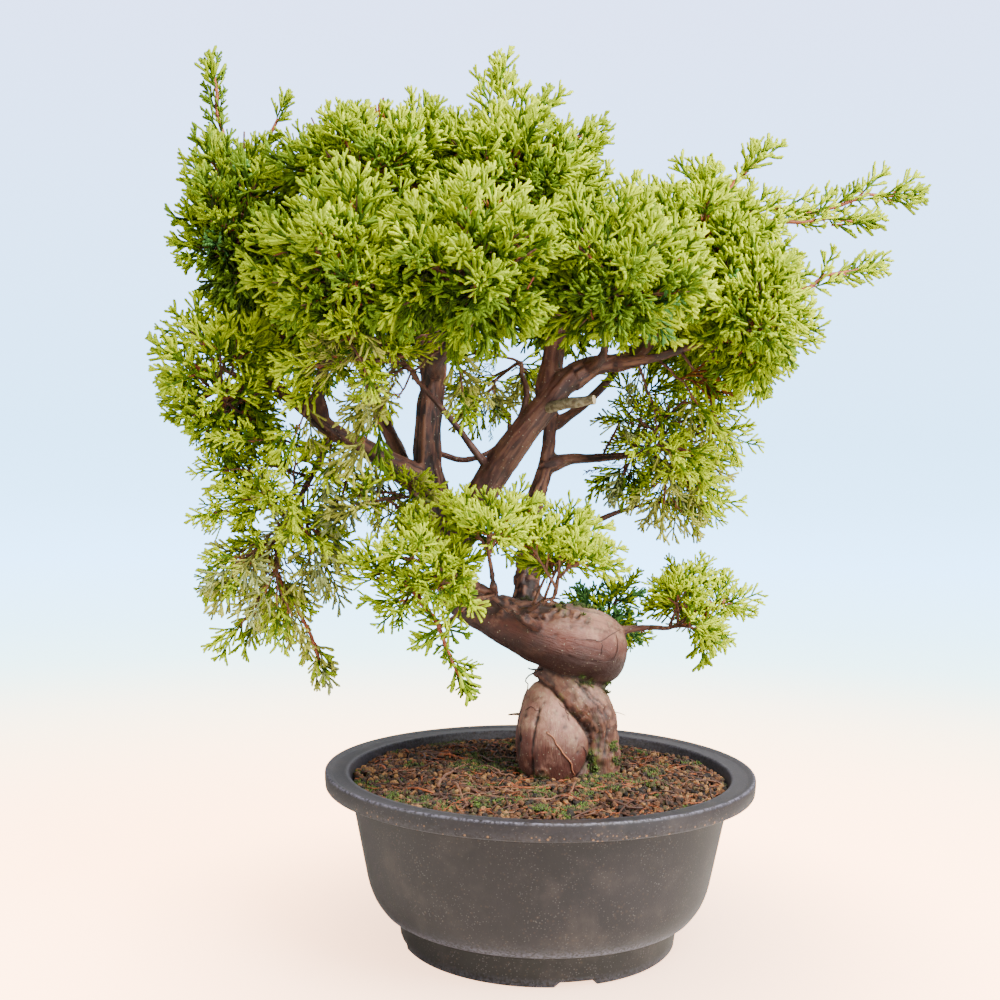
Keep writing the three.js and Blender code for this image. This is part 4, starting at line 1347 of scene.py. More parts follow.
    def plume(self, foot: Array, tip: Array, axis: Array, count: int, turn: float) -> list[Spray]:
        """One tuft: a twig that turns outward, a spray at its end and sprays all round behind it.

        Args:
            foot: Where its twig starts.
            tip: Where the end spray ends.
            axis: The tuft's direction.
            count: How many sprays it has.
            turn: Its turn about the axis.

        Returns:
            The sprays.
        """
        rng = self.rng
        frame_of = turned_frames(axis[None], np.array([turn]))[0]
        hanging = axis[2] < -0.35
        rise = -0.3 if hanging else self.mass.rise
        tone = rng.normal(0, 0.09)
        bent = [foot, tip - axis * (16.0 + 4.2 * count), tip - axis * 12.0]
        bent = smooth_line(bent, np.linspace(0, 1, 7))
        self.crown.wood.add(*tubes(bent[None], np.linspace(0.5 + 0.07 * count, 0.45, 7)[None], 4))
        size = self.frond * rng.uniform(0.9, 1.1)
        sprays = [self.spray(tip, size, axis, size, 0.15 * rise, Style.BUSHY, tone + 0.05)]
        for j in range(1, count):
            tilt = rng.uniform(0.5, 0.8) + 0.28 * j / count
            local = leant(j * GOLDEN_ANGLE + rng.normal(0, 0.2), tilt)
            way = unit(frame_of @ local + UP * 0.55 * rise + rng.normal(0, 0.08, 3))
            length = self.frond * rng.uniform(0.74, 1.0)
            style = Style.BUSHY if rng.random() < 0.55 else Style.FAN
            if hanging:
                style = (Style.FAN, Style.FAN, Style.SPARSE)[rng.integers(0, 3)]
            root = tip - axis * (14.0 + 4.2 * j)
            sprays.append(self.spray(root, 0, way, length, 0.25 * rise, style, tone))
        return sprays

    def grow_dense(self) -> list[Spray]:
        """Grows a dense mass: a plume at each tuft, small ones between, and sprays that fill in.

        Returns:
            The mass's sprays.
        """
        rng = self.rng
        directions, stretches, turns = self.tufts()
        first = len(directions)
        more = round(self.small_tufts * self.thin * first)
        directions = np.concatenate([directions, even_directions(more, float(rng.uniform(0, 6)))])
        stretches = np.concatenate([stretches, rng.uniform(0.78, 1.0, more)])
        stretches *= 1 + self.lumps * lattice_noise(self.place_in(directions, stretches) / 26, 5)
        turns = np.concatenate([turns, rng.uniform(0, math.pi, more)])
        shares = self.free_shares(directions, stretches)
        low = self.at - UP * 0.5 * self.reach[2] * (self.mass.rise + 0.3)
        sprays = []
        for k, (direction, stretch, share, turn) in enumerate(zip(directions, stretches, shares, turns)):
            if share >= 0.5 * stretch:
                tip = self.place_in(direction, share)
                axis = unit(unit(tip - low) + 0.35 * unit(direction / self.reach) + rng.normal(0, 0.12, 3))
                foot = smooth_line(self.stem, np.array([0.55 + 0.15 * (k % 4)]))[0]
                count = round(self.tuft_sprays * self.thin**0.5) if k < first else self.small_sprays
                sprays += self.plume(foot, tip, axis, count, turn)
        count = round(self.fill_share * self.thin * first)
        fill = even_directions(count, float(rng.uniform(0, 6)))
        limits = rng.uniform(0.55, 0.85, count)
        for direction, limit, share in zip(fill, limits, self.free_shares(fill, limits)):
            if share >= 0.3:
                tip = self.place_in(direction, share)
                way = unit(unit(tip - low) + rng.normal(0, 0.25, 3))
                length = float(rng.uniform(22, 30))
                root, bend, depth = tip - way * length, 0.1 * self.mass.rise, 0.15 + 1.2 * (0.88 - limit)
                sprays.append(self.spray(root, 0, way, length, bend, Style.INNER, 0.0, depth))
        return sprays

    def set_along(self, places: Array, step: float, length: float, spread: float = 0.8) -> list[Spray]:
        """Sprays on all sides along a twig, and one that goes on from its tip.

        Args:
            places: Places along the twig.
            step: How far apart the sprays are.
            length: How long they are.
            spread: How far they lean out from the twig.

        Returns:
            The sprays.
        """
        rng, rise = self.rng, self.mass.rise
        whole = float(np.sum(norm(np.diff(places, axis=0), axis=1)))
        axis = unit(places[-1] - places[0])
        side = unit(np.cross([0.2, 0.9, 0.3], axis))
        tone = rng.normal(0.04, 0.08)
        sprays = []
        for k in range(max(2, round(whole * 0.86 / step))):
            t = max(0.02, 1 - (k + 0.4) * step / whole)
            here, after = smooth_line(places, np.array([t, min(1.0, t + 0.05)]))
            angle = 2.4 * k + rng.normal(0, 0.25)
            round_side = math.cos(angle) * side + math.sin(angle) * np.cross(axis, side)
            onward = unit(after - here) if t < 0.95 else axis
            way = unit(onward + spread * round_side + UP * 0.35 * rise)
            size = length * rng.uniform(0.8, 1.15)
            style = Style.FAN if rng.random() < 0.35 else Style.BUSHY
            if self.hangs:
                style = (*[Style.FAN] * 3, *[Style.SPARSE] * 2, Style.NEEDLE)[rng.integers(0, 6)]
            sprays.append(self.spray(here, 0.8, way, size, 0.3 * rise, style, tone))
        return sprays + [self.spray(places[-1], 3, axis, length, 0.2 * rise, Style.FAN, tone)]

    def branch(self, foot: Array, end: Array) -> list[Spray]:
        """A slender twig with side twigs, all set with sprays.

        Args:
            foot: Where it starts.
            end: Where it ends.

        Returns:
            The sprays.
        """
        rng = self.rng
        places = self.crown.twig(foot, end, (0.85, 0.42), rng)
        step, size = (8.0, 20.0) if self.low_pad else (10.0, 22.0)
        step += 2.5 * (self.mass.name == "foliage_left_hanging")
        sprays = self.set_along(places, step, size)
        axis = unit(end - foot)
        side = unit(np.cross(axis, [0.1, 0.25, 1.0]))
        length = float(norm(end - foot))
        for t, sign in ((0.4, -1), (0.62, 1), (0.84, -1)):
            here = smooth_line(places, np.array([t]))[0]
            way = axis + sign * side * rng.uniform(0.8, 1.3) + UP * 0.6 * self.mass.rise
            way = unit(way + rng.normal(0, 0.2, 3))
            far = here + way * length * rng.uniform(0.28, 0.42)
            sprays += self.set_along(self.crown.twig(here, far, (0.5, 0.36), rng), 9.0, size - 2)
        return sprays

    def grow_open(self) -> list[Spray]:
        """Grows an open mass: slender twigs from its stem, each with side twigs and sprays.

        Returns:
            The mass's sprays.
        """
        directions, stretches, _ = self.tufts()
        reach = 0.56 if self.low_pad else 0.72
        sprays = []
        for k, (direction, share) in enumerate(zip(directions, self.free_shares(directions, stretches))):
            if share > 0.3:
                foot = smooth_line(self.stem, np.array([0.4 + 0.15 * (k % 4)]))[0]
                sprays += self.branch(foot, mix(foot, self.place_in(direction, share), reach))
        return sprays

    def grow_leader(self, tip: Place) -> list[Spray]:
        """Grows a leading shoot from the mass's middle to its tip, set with sprays.

        Args:
            tip: Where it ends.

        Returns:
            The sprays.
        """
        end = np.array(tip, float)
        way = unit(end - self.at)
        places = self.crown.twig(self.at, end - way * 12.0, (1.5, 0.75), self.rng, True)
        sprays = [s for s in self.set_along(places, self.leader_step, 17.0, 0.55)
                  if self.crown.outside(s.root[None])[0, self.number] > -8]
        for spray in sprays:
            spray.style = Style.SHORT
        return sprays + [Spray(end - way * 24.5, way, 24.0, 0.0, Style.SHORT, LeafKind.LIME)]

    def grow(self) -> None:
        """Grows the stem and everything on it, and lays the sprays into the pieces."""
        line = smooth_line(self.stem, np.linspace(0, 1, 9))
        line[0] -= unit(line[1] - line[0]) * 1.5
        self.crown.wood.add(*tubes(line[None], self.bough.girth[1] * np.linspace(0.97, 0.5, 9)[None], 7))
        sprays = self.fitted(self.grow_dense() if self.mass.dense else self.grow_open(), False)
        for tip in self.mass.leaders:
            sprays += self.fitted(self.grow_leader(tip), True)
        for foot, tip in TRAILS.get(self.mass.name, ()):
            places = self.crown.twig(foot, tip, (0.8, 0.42), self.rng)
            sprays += self.fitted(self.set_along(places, self.trail_step, self.trail_length), True)
        self.lay(sprays)

    def lay(self, sprays: list[Spray]) -> None:
        """Copies the ready grown forms to the sprays.

        Args:
            sprays: The mass's sprays.
        """
        variants = self.rng.integers(0, SPRAY_VARIANTS, len(sprays))
        turns = self.rng.uniform(0, 2 * math.pi, len(sprays))
        groups: dict[tuple[int, int], list[int]] = {}
        for i, spray in enumerate(sprays):
            groups.setdefault((STYLES.index(spray.style), int(variants[i])), []).append(i)
        for key, members in sorted(groups.items()):
            chosen = [sprays[i] for i in members]
            frames = turned_frames(np.array([s.axis for s in chosen]), turns[members])
            sizes = np.array([s.length for s in chosen]) / SPRAY_LENGTH
            bends = np.array([s.bend * s.length for s in chosen])
            roots = np.array([s.root for s in chosen])
            tints = np.array([LEAF_KINDS.index(s.kind) for s in chosen])
            for part, (points, faces, tips) in self.crown.forms.forms[key].items():
                placed = np.einsum("nij,mj->nmi", frames, points) * sizes[:, None, None] + roots[:, None]
                placed[:, :, 2] += bends[:, None] * np.clip(points[:, 2] / SPRAY_LENGTH, 0, 1.1) ** 2
                if part == "twig":
                    self.crown.young.add(placed, faces)
                else:
                    leaves = self.crown.leaves[self.mass.region]
                    leaves.add(placed, faces, tints[:, None] + len(LEAF_KINDS) * tips)


@dataclass
class Timber:
    """The trunk and boughs under one skin of bark, and the sawn stub."""

    limbs: Limbs
    voxel: float = 0.86
    collar: float = 0.28
    plates: float = 0.95
    crease: float = 1.5
    split_height: float = 131.0
    trunk_moss_share: float = 0.13
    stub_sides: int = 40
    stub_rings: int = 90
    # The sawn end's rings, as a share of its radius and a height
    sawn_rings = ((0.93, 0.25), (0.8, 0.2), (0.6, 0.24), (0.4, 0.18), (0.2, 0.24), (0.03, 0.2))
    # Marks on the front of the foot and the coil, as (x, z): cracks with their width and depth
    cracks = (
        (((-0.6, 113.1), (-1.8, 107.2), (-3.1, 100.3), (-3.4, 92.8), (-2.8, 78.0)), 0.6, 1.3),
        (((-9.0, 100), (-10.2, 93.0), (-11.2, 84.0), (-11.4, 78.0)), 0.55, 0.9),
        (((16.7, 126.3), (22, 122.8), (26.3, 118.9), (31.8, 114.3), (33.2, 106), (33, 98.7), (31.5, 90)),
         0.6, 0.8),
        (((20.1, 123.6), (23.5, 118.8), (28.3, 114.1), (30.4, 110)), 0.5, 0.6),
        (((26.5, 104), (28.6, 98), (28.9, 91)), 0.5, 0.5),
    )
    # Hair cracks (0) and the rootlet on the lobe (1), with their girth
    lines = (
        (((15.8, 148.5), (23.2, 148.0), (29.3, 147.5), (34.2, 150.1), (39.1, 151.7)), 0.24, 0),
        (((29.0, 147.1), (29.4, 144.0), (29.1, 140.7)), 0.22, 0),
        (((36.1, 149.2), (36.8, 143.7), (35.1, 138.1), (31.0, 136.9), (27.7, 137.4)), 0.24, 0),
        (((-2.0, 150.7), (1.7, 149.8), (6.5, 148.4)), 0.24, 0),
        (((20.5, 95.8), (22.4, 92.2), (22.9, 88.5)), 0.25, 0),
        (((9.0, 116.5), (12.5, 112.5), (14.0, 108.0)), 0.2, 0),
        (((-1.2, 112.0), (-4.2, 113.6), (-7.0, 112.0)), 0.2, 0),
        (((3.2, 103.2), (7.0, 100.2), (9.6, 95.6), (13.0, 91.5), (15.6, 87.0), (16.8, 80.5)), 0.42, 1),
    )
    # Small pits and crusted knots, as (x, z)
    pits = ((-6.8, 109.0), (-1.6, 109.0), (11.5, 110.3), (11.9, 105.1), (18.6, 93.1), (17.9, 99.9),
            (2.1, 116.4), (14.4, 154.1), (19.0, 153.3), (6.5, 150.0))
    knots = ((10.2, 159.3), (17.0, 158.1), (1.3, 83.4), (0.3, 158.5), (21.5, 156.2))
    moss_seams = (
        ((17, -4, 164), (24, 0, 159)), ((7, -12, 162), (15, -15, 161), (22, -13, 159)),
        ((-13, -2, 163), (-5, -8, 163)), ((16, -9, 130), (24, -8, 127), (33, -2, 122)),
        ((10, -10, 121), (17, -10, 115), (24, -6, 108), (26, -6, 92), (26, -4, 82)),
        ((36, -2, 94), (38, 0, 84)), ((-7, 8, 160), (-8, 14, 166)),
    )
    # The dead root at the neck, its forks and the peg, with their girths
    wires = (
        (((4, -1, 132), (0, -6, 131), (-5.2, -8, 129), (-7.4, -9, 126.3), (-5.8, -10, 123.9),
          (-8.2, -11, 117.9), (-9.4, -11, 111.7), (-10.8, -10, 104.1), (-9.5, -9, 97)), 0.45, 0.22),
        (((2, -3, 131), (-4, -7, 131.5), (-6.2, -8, 132.3)), 0.6, 0.3),
        (((30, 2, 110.4), (38, 0, 110), (42, -1, 108.9)), 0.32, 0.12),
        (((-8, 0, 108.2), (-12, -1, 108.4), (-15.5, -2, 108.2)), 0.85, 0.4),
    )

    @staticmethod
    def lobe_lean(height: Array) -> tuple[Array, Array]:
        """How far the front lobe leans left and how much of its girth is left, at shares of its height."""
        upper = np.clip(height, 0, 1) ** 1.5
        return 5.5 * upper, 1 - 0.3 * upper

    def lofts(self) -> Shape:
        """Every limb as a closed tube, with the front lobe, from just under the soil's top.

        Returns:
            The tubes, which run into each other.
        """
        shape = Shape()
        coil, lobe = np.array(TRUNK_COIL, float), np.array(BACK_LOBE, float)
        rows = [(coil[:, :3], coil[:, 3], 36, 220, 0.0), (lobe[:, :3], lobe[:, 3], 32, 50, 0.0)]
        for bough in BOUGHS:
            if bough.name != STUB:
                path = np.array(bough.path, float)
                rows.append((path, np.linspace(*bough.girth, len(path)), 16, 24 * len(path), self.collar))
        for path, girths, sides, rings, collar in rows:
            t = np.linspace(0, 1, rings)
            girth = np.interp(t * (len(path) - 1), np.arange(len(path)), girths)
            length = np.sum(norm(np.diff(path, axis=0), axis=1))
            girth = girth * (1 + collar * np.exp(-((t * length - girths[0] * 1.6) / (girths[0] * 1.4)) ** 2))
            shape.add(*tubes(smooth_line(path, t)[None], girth[None], sides, 0.4))
        theta = np.linspace(0, np.pi, 40)
        centres = np.column_stack([np.zeros((40, 2)), -np.cos(theta)])
        points, faces = tubes(centres[None], np.maximum(np.sin(theta), 0.02)[None], 40, 0.02)
        lean, narrow = self.lobe_lean(points[..., 2])
        points = points * FRONT_LOBE_REACH
        points[..., 0] = points[..., 0] * narrow - lean
        points[..., 1] *= narrow
        shape.add(points + FRONT_LOBE_AT, faces)
        for points in shape.points:
            points[:, 2] = np.maximum(points[:, 2], TRUNK_FOOT)
        return shape

    def skin(self) -> bpy.types.Object:
        """The lofts joined into one closed skin of even small faces.

        Returns:
            The skin's object, linked to the scene.
        """
        rough = self.lofts().build("rough_limbs", [])
        wrap = rough.modifiers.new("wrap", "REMESH")
        wrap.mode = "VOXEL"
        wrap.voxel_size = self.voxel * MM
        soften = rough.modifiers.new("soften", "SMOOTH")
        soften.factor = 0.5
        soften.iterations = 2
        bpy.context.view_layer.update()
        graph = bpy.context.evaluated_depsgraph_get()
        mesh = bpy.data.meshes.new_from_object(rough.evaluated_get(graph))
        mesh.name = "bark"
        bpy.data.objects.remove(rough)
        return linked("bark", mesh)

    @staticmethod
    def line_gap(points: Array, line: Array) -> Array:
        """How far points are from a bent line, in two or three dimensions.

        Args:
            points: Places of shape (n, 2) or (n, 3).
            line: The line's places, of as many dimensions.

        Returns:
            Distances of shape (n,).
        """
        gaps = []
        for a, b in zip(line[:-1], line[1:]):
            way = b - a
            t = np.clip((points - a) @ way / (way @ way), 0, 1)
            gaps.append(norm(points - a - t[:, None] * way, axis=1))
        return np.min(gaps, axis=0)

    def seam(self, points: Array, lobe_gap: Array) -> Array:
        """How near each point is to a seam between the foot, its lobes and the coil.

        Args:
            points: Places of shape (n, 3).
            lobe_gap: How far each is from the front lobe.

        Returns:
            Values of shape (n,), from 0 to 1 in a seam.
        """
        limbs = self.limbs
        middle = 0.5 * (limbs.starts + limbs.ends)[:, 2]
        trunk, high = limbs.limb == 0, middle >= self.split_height
        groups = (trunk & ~high, trunk & high, limbs.limb == 1)
        low = points[:, 2] < 172
        gaps = np.full((len(points), 4), 99.0)
        gaps[:, 3] = lobe_gap
        way = limbs.ends - limbs.starts
        for column, group in enumerate(groups):
            best = np.full(low.sum(), 99.0)
            for i in np.flatnonzero(group):
                offset = points[low] - limbs.starts[i]
                t = np.clip(offset @ way[i] / (way[i] @ way[i]), 0, 1)
                gap = norm(offset - t[:, None] * way[i], axis=1) - mix(*limbs.girths[i], t)
                best = np.minimum(best, gap)
            gaps[low, column] = best
        gaps.sort(axis=1)
        return np.exp(-(((gaps[:, 1] - gaps[:, 0]) / 0.95) ** 2)) * low

    def marks(self, points: Array, front: Array, crack: Array) -> tuple[Array, Array, Array]:
        """The cracks, pits and knots on the front of the foot and the coil.

        Args:
            points: The skin's points.
            front: How much each faces the front there.
            crack: How cracked each is already.

        Returns:
            How far each point is pushed out, how cracked it is, and how crusted.
        """
        height, crusted = np.zeros(len(points)), np.zeros(len(points))
        uneven = np.clip(0.85 + 0.7 * layered_noise(points / 3.5, 83, 2), 0.3, 1.4)
        flat = points[:, [0, 2]] + 0.5 * np.column_stack([lattice_noise(points / 2.5, s) for s in (61, 67)])
        for line, wide, deep in self.cracks:
            mask = front * bell(self.line_gap(flat, np.array(line)), wide * uneven)
            height -= deep * mask
            crack = np.maximum(crack, mask)
        for at in self.pits:
            mask = front * bell(norm(flat - at, axis=1), 0.85)
            height -= 0.5 * mask
            crack = np.maximum(crack, 0.8 * mask)
        for at in self.knots:
            away = norm(flat - at, axis=1)
            height += front * (0.8 * bell(away - 1.7, 0.8) - 0.6 * bell(away, 0.8))
            crack = np.maximum(crack, 0.75 * front * bell(away, 1.1))
            crusted = np.maximum(crusted, front * bell(away, 2.6))
        return height, crack, crusted

    def relief(self, points: Array, normals: Array) -> tuple[Array, dict]:
        """The bark's relief over the skin.

        Args:
            points: The skin's points, of shape (n, 3).
            normals: Its normals there.

        Returns:
            How far each point is pushed out, and the values that the bark's finish reads.
        """
        limbs = self.limbs
        x, z, up = points[:, 0], points[:, 2], normals[:, 2]
        gap, which, share = limbs.nearest(points)
        way = (limbs.ends - limbs.starts)[which]
        offset = points - limbs.starts[which] - way * share[:, None]
        girth = mix(limbs.girths[which, 0], limbs.girths[which, 1], share)
        lobe = (points - FRONT_LOBE_AT) / FRONT_LOBE_REACH
        lean, narrow = self.lobe_lean(lobe[:, 2])
        lobe[:, 0] = (lobe[:, 0] + lean / FRONT_LOBE_REACH[0]) / narrow
        lobe[:, 1] /= narrow
        lobe_gap = (norm(lobe, axis=1) - 1) * min(FRONT_LOBE_REACH)
        on_lobe = lobe_gap < gap
        back_lobe = (limbs.limb[which] == 1) & ~on_lobe
        crown_side = ramp(z, 154, 161) * ramp(-x, -27, -15) * (z < 180)
        coarse = np.maximum(0.7 * back_lobe, crown_side)
        flaky = np.array(limbs.flaky)[limbs.limb[which]]
        flaky = np.where(limbs.limb[which] == 0, ramp(-x, 18, 42) * ramp(z, 148, 172), flaky)
        flaky = np.where(on_lobe | back_lobe, 0.0, np.maximum(flaky, 0.35 * crown_side))
        girth = np.where(on_lobe, 18.0, girth)
        around = [np.sum(offset * side[which], axis=1) for side in (limbs.across, limbs.other)]
        fibres = np.column_stack([*around, limbs.along[which] + share * norm(way, axis=1)])
        fibres = np.where(on_lobe[:, None], points - [*FRONT_LOBE_AT[:2], 0], fibres)
        groove = bell(layered_noise(fibres / [4.2, 4.2, 30], 11, 2), 0.2)
        flakes = ramp(layered_noise(fibres / [3.6, 3.6, 12], 23, 2), -0.08, 0.08)
        fine = layered_noise(fibres / [1.7, 1.7, 9], 31, 2)
        thick = np.clip(0.14 * girth, 0.16, self.plates)
        plates = flaky * thick * (0.6 * flakes + 0.4 * fine - 1.1 * groove)
        lumps = layered_noise(points / 13, 47, 2) * np.clip(0.05 * girth, 0.05, 0.7)
        wrinkles = (1 - flaky) * (0.13 * layered_noise(fibres / [1.9, 1.9, 11], 53, 2)
                                  + 0.14 * layered_noise(points / 3.2, 59, 2))
        pebbled = ramp(layered_noise(points / 2.7, 97, 3), -0.12, 0.16)
        knobs = coarse * (0.85 * layered_noise(points / 4.6, 101, 2) + 0.55 * pebbled - 0.3)
        high = np.clip(0.62 + 0.22 * flakes + 0.2 * fine - 0.6 * groove, 0, 1)
        high = np.where(coarse > 0.3, 0.25 + 0.5 * pebbled, high)
        seam = self.seam(points, lobe_gap)
        front = ramp(-normals[:, 1], 0.05, 0.35) * (z < 168) * (x > -12)
        crack = np.maximum(0.7 * seam, crown_side * (0.45 - 0.35 * pebbled))
        marked, crack, crusted = self.marks(points, front, crack)
        gaps = [self.line_gap(points, np.array(line, float)) for line in self.moss_seams]
        moss = bell(np.min(gaps, axis=0), 3.2) * ramp(layered_noise(points / 5, 73, 2), -0.35, 0.1)
        foot_moss = ramp(-z, -84, -79) * ramp(layered_noise(points / 9, 71, 2), -0.1, 0.35)
        mottled = 0.3 * layered_noise(points / 7, 79, 3)
        # Painted highlight: upper faces, by their normals, are marked to be coloured paler as if lit from
        # above; on the coil above the split, mostly its right side.
        top = 0.85 * ramp(up + 0.16 * on_lobe + 0.35 * back_lobe + mottled, 0.0, 1.0)
        top *= np.where(z > self.split_height, 0.3 + 0.7 * ramp(x, 0, 26), 1)
        # Painted shade: undersides, by their normals, and the front lobe's foot near the soil are marked to
        # be coloured darker.
        under = 0.9 * ramp(-up + 0.7 * mottled, -0.22, 0.5) * (1 - 0.5 * on_lobe)
        under = np.maximum(under, 0.5 * on_lobe * ramp(-z + 30 * mottled, -103, -84))
        values = {"smooth": (1 - np.maximum(flaky, 0.75 * coarse)) * (1 - 0.8 * crusted), "crack": crack,
                  "moss": np.maximum(moss, 0.8 * foot_moss), "top": top, "under": under, "high": high,
                  "fibre": fibres * [MM, MM, 0.16 * MM]}
        return plates + lumps + wrinkles + knobs - self.crease * seam + marked, values

    def build(self) -> None:
        """Makes the bark and everything on it, and the stub, and puts them on the part."""
        made = self.skin()
        mesh = made.data
        points, normals = np.empty((2, len(mesh.vertices) * 3))
        mesh.vertices.foreach_get("co", points)
        mesh.vertex_normals.foreach_get("vector", normals)
        points, normals = points.reshape(-1, 3) / MM, normals.reshape(-1, 3)
        height, values = self.relief(points, normals)
        moved = points + normals * height[:, None]
        moved[:, 2] = np.where(points[:, 2] < TRUNK_FOOT + 0.5, points[:, 2], moved[:, 2])
        mesh.vertices.foreach_set("co", (moved * MM).ravel())
        for name, value in values.items():
            store_values(mesh, name, value)
        mesh.polygons.foreach_set("use_smooth", np.full(len(mesh.polygons), True))
        mesh.update()
        bark = BarkFinish("bark", (84, 48, 35), (56, 29, 21), 900.0, 0.55, 0.6, 0.9, 1100.0)
        mesh.materials.clear()
        mesh.materials.append(bark.material())
        settle(made, ["trunk"] + [b.name for b in BOUGHS if b.name != STUB])
        self.moss(moved, normals, values["moss"])
        self.fine_lines(moved, normals)
        self.roots()
        self.stub()

    def moss(self, points: Array, normals: Array, moss: Array) -> None:
        """Makes the moss on the trunk, as tufts of spikes where the bark is mossy.

        Args:
            points: The bark's points.
            normals: Its normals.
            moss: How mossy it is there.
        """
        rng = np.random.default_rng(303)
        chosen = (moss > 0.5) & (rng.random(len(moss)) < self.trunk_moss_share)
        chosen &= points[:, 2] > SOIL_TOP - 1
        shape = SoilBed.spikes(points[chosen] - normals[chosen] * 0.3, normals[chosen], rng, 1.0)
        settle(shape.build("trunk_moss", moss_shades()), ["trunk"])

    def fine_lines(self, points: Array, normals: Array) -> None:
        """Makes the hair cracks and the rootlet that lies on the lobe, along lines drawn in x and z.

        Args:
            points: The bark's points.
            normals: Its normals.
        """
        front = points[(normals[:, 1] < -0.05) & (points[:, 2] < 165)]
        shape = Shape()
        for number, (line, girth, tint) in enumerate(self.lines):
            t = np.linspace(0, 1, 36)
            places = smooth_line(np.array([(x, 0.0, z) for x, z in line], float), t)
            wander = layered_noise(np.column_stack([t * 7, t * 0 + number, t * 0]), 91, 2) * 0.35
            places[:, [0, 2]] += wander[:, None]
            for place in places:
                near = norm(front[:, [0, 2]] - place[[0, 2]], axis=1)
                place[1] = front[np.argsort(near)[:5], 1].min()
            places[1:-1, 1] = (places[:-2, 1] + places[1:-1, 1] + places[2:, 1]) / 3
            places[:, 1] += (0.12, -0.15)[tint]
            radii = girth * (0.55 + 0.45 * np.sin(np.pi * np.clip(t, 0.04, 0.96)))
            shape.add(*tubes(places[None], radii[None], 6), tint)
        finishes = (("hair_crack", (52, 28, 22), (40, 22, 17)),
                    ("lobe_rootlet", (150, 92, 62), (112, 62, 40)))
        materials = [Finish(*finish, 600.0).material() for finish in finishes]
        settle(shape.build("bark_lines", materials), ["trunk"])

    def roots(self) -> None:
        """Makes the wiry dead root at the neck, and the peg by it."""
        shape = Shape()
        for line, thick, thin in self.wires:
            path = smooth_line(np.array(line, float), np.linspace(0, 1, 16))
            shape.add(*tubes(path[None], mix(thick, thin, np.linspace(0, 1, 16))[None], 5))
        wire = Finish("dead_root", (44, 30, 24), (28, 20, 16), 500.0)
        settle(shape.build("dead_roots", [wire.material()]), ["trunk"])

    def stub(self) -> None:
        """Makes the sawn stub: a knobbly weathered side and a pale ringed end."""
        bough = next(b for b in BOUGHS if b.name == STUB)
        sides, rings = self.stub_sides, self.stub_rings
        t = np.linspace(0.0, 1, rings)
        line = smooth_line(np.array(bough.path), t)
        along = unit(np.gradient(line, axis=0))
        across = unit(np.cross(along, UP))
        spoke = spokes(across, np.cross(along, across), sides)
        turn = ring(sides)
        where = np.broadcast_arrays(np.cos(turn) * 2.4, np.sin(turn) * 2.4, t[:, None] * 5.0)
        where = np.stack(where, axis=-1).reshape(-1, 3)
        rough = layered_noise(where * 1.3, 83, 3).reshape(rings, sides)
        swell = lattice_noise(np.column_stack([t * 4.5, t * 0, t * 0]), 89)
        radius = (np.linspace(*bough.girth, rings) * (1 + 0.1 * swell))[:, None] * (1 + 0.13 * rough)
        walls = line[:, None] + spoke * radius[..., None]
        rim = walls[-1] - line[-1]
        sawn = [line[-1] + rim * share + along[-1] * rise for share, rise in self.sawn_rings]
        points = np.concatenate([walls, sawn]).reshape(-1, 3)
        pith = len(points) - sides + fan_faces(sides)[:, ::-1]
        faces = np.concatenate([fan_faces(sides), wall_faces(rings + len(sawn), sides), pith])
        first_sawn = sides - 2 + 2 * sides * (rings - 1)
        shape = Shape()
        shape.add(points, faces, (np.arange(len(faces)) >= first_sawn)[None].astype(int))
        bark = Finish("stub_bark", (138, 126, 98), (92, 80, 58), 420.0, 0.6, 0.9, 0.6, 1400.0)
        end = Finish("sawn_end", (214, 196, 152), (176, 150, 108), 900.0, 0.45, 0.85, 0.4, 1800.0)
        settle(shape.build("sawn_stub", [bark.material(), end.material()]), [STUB])


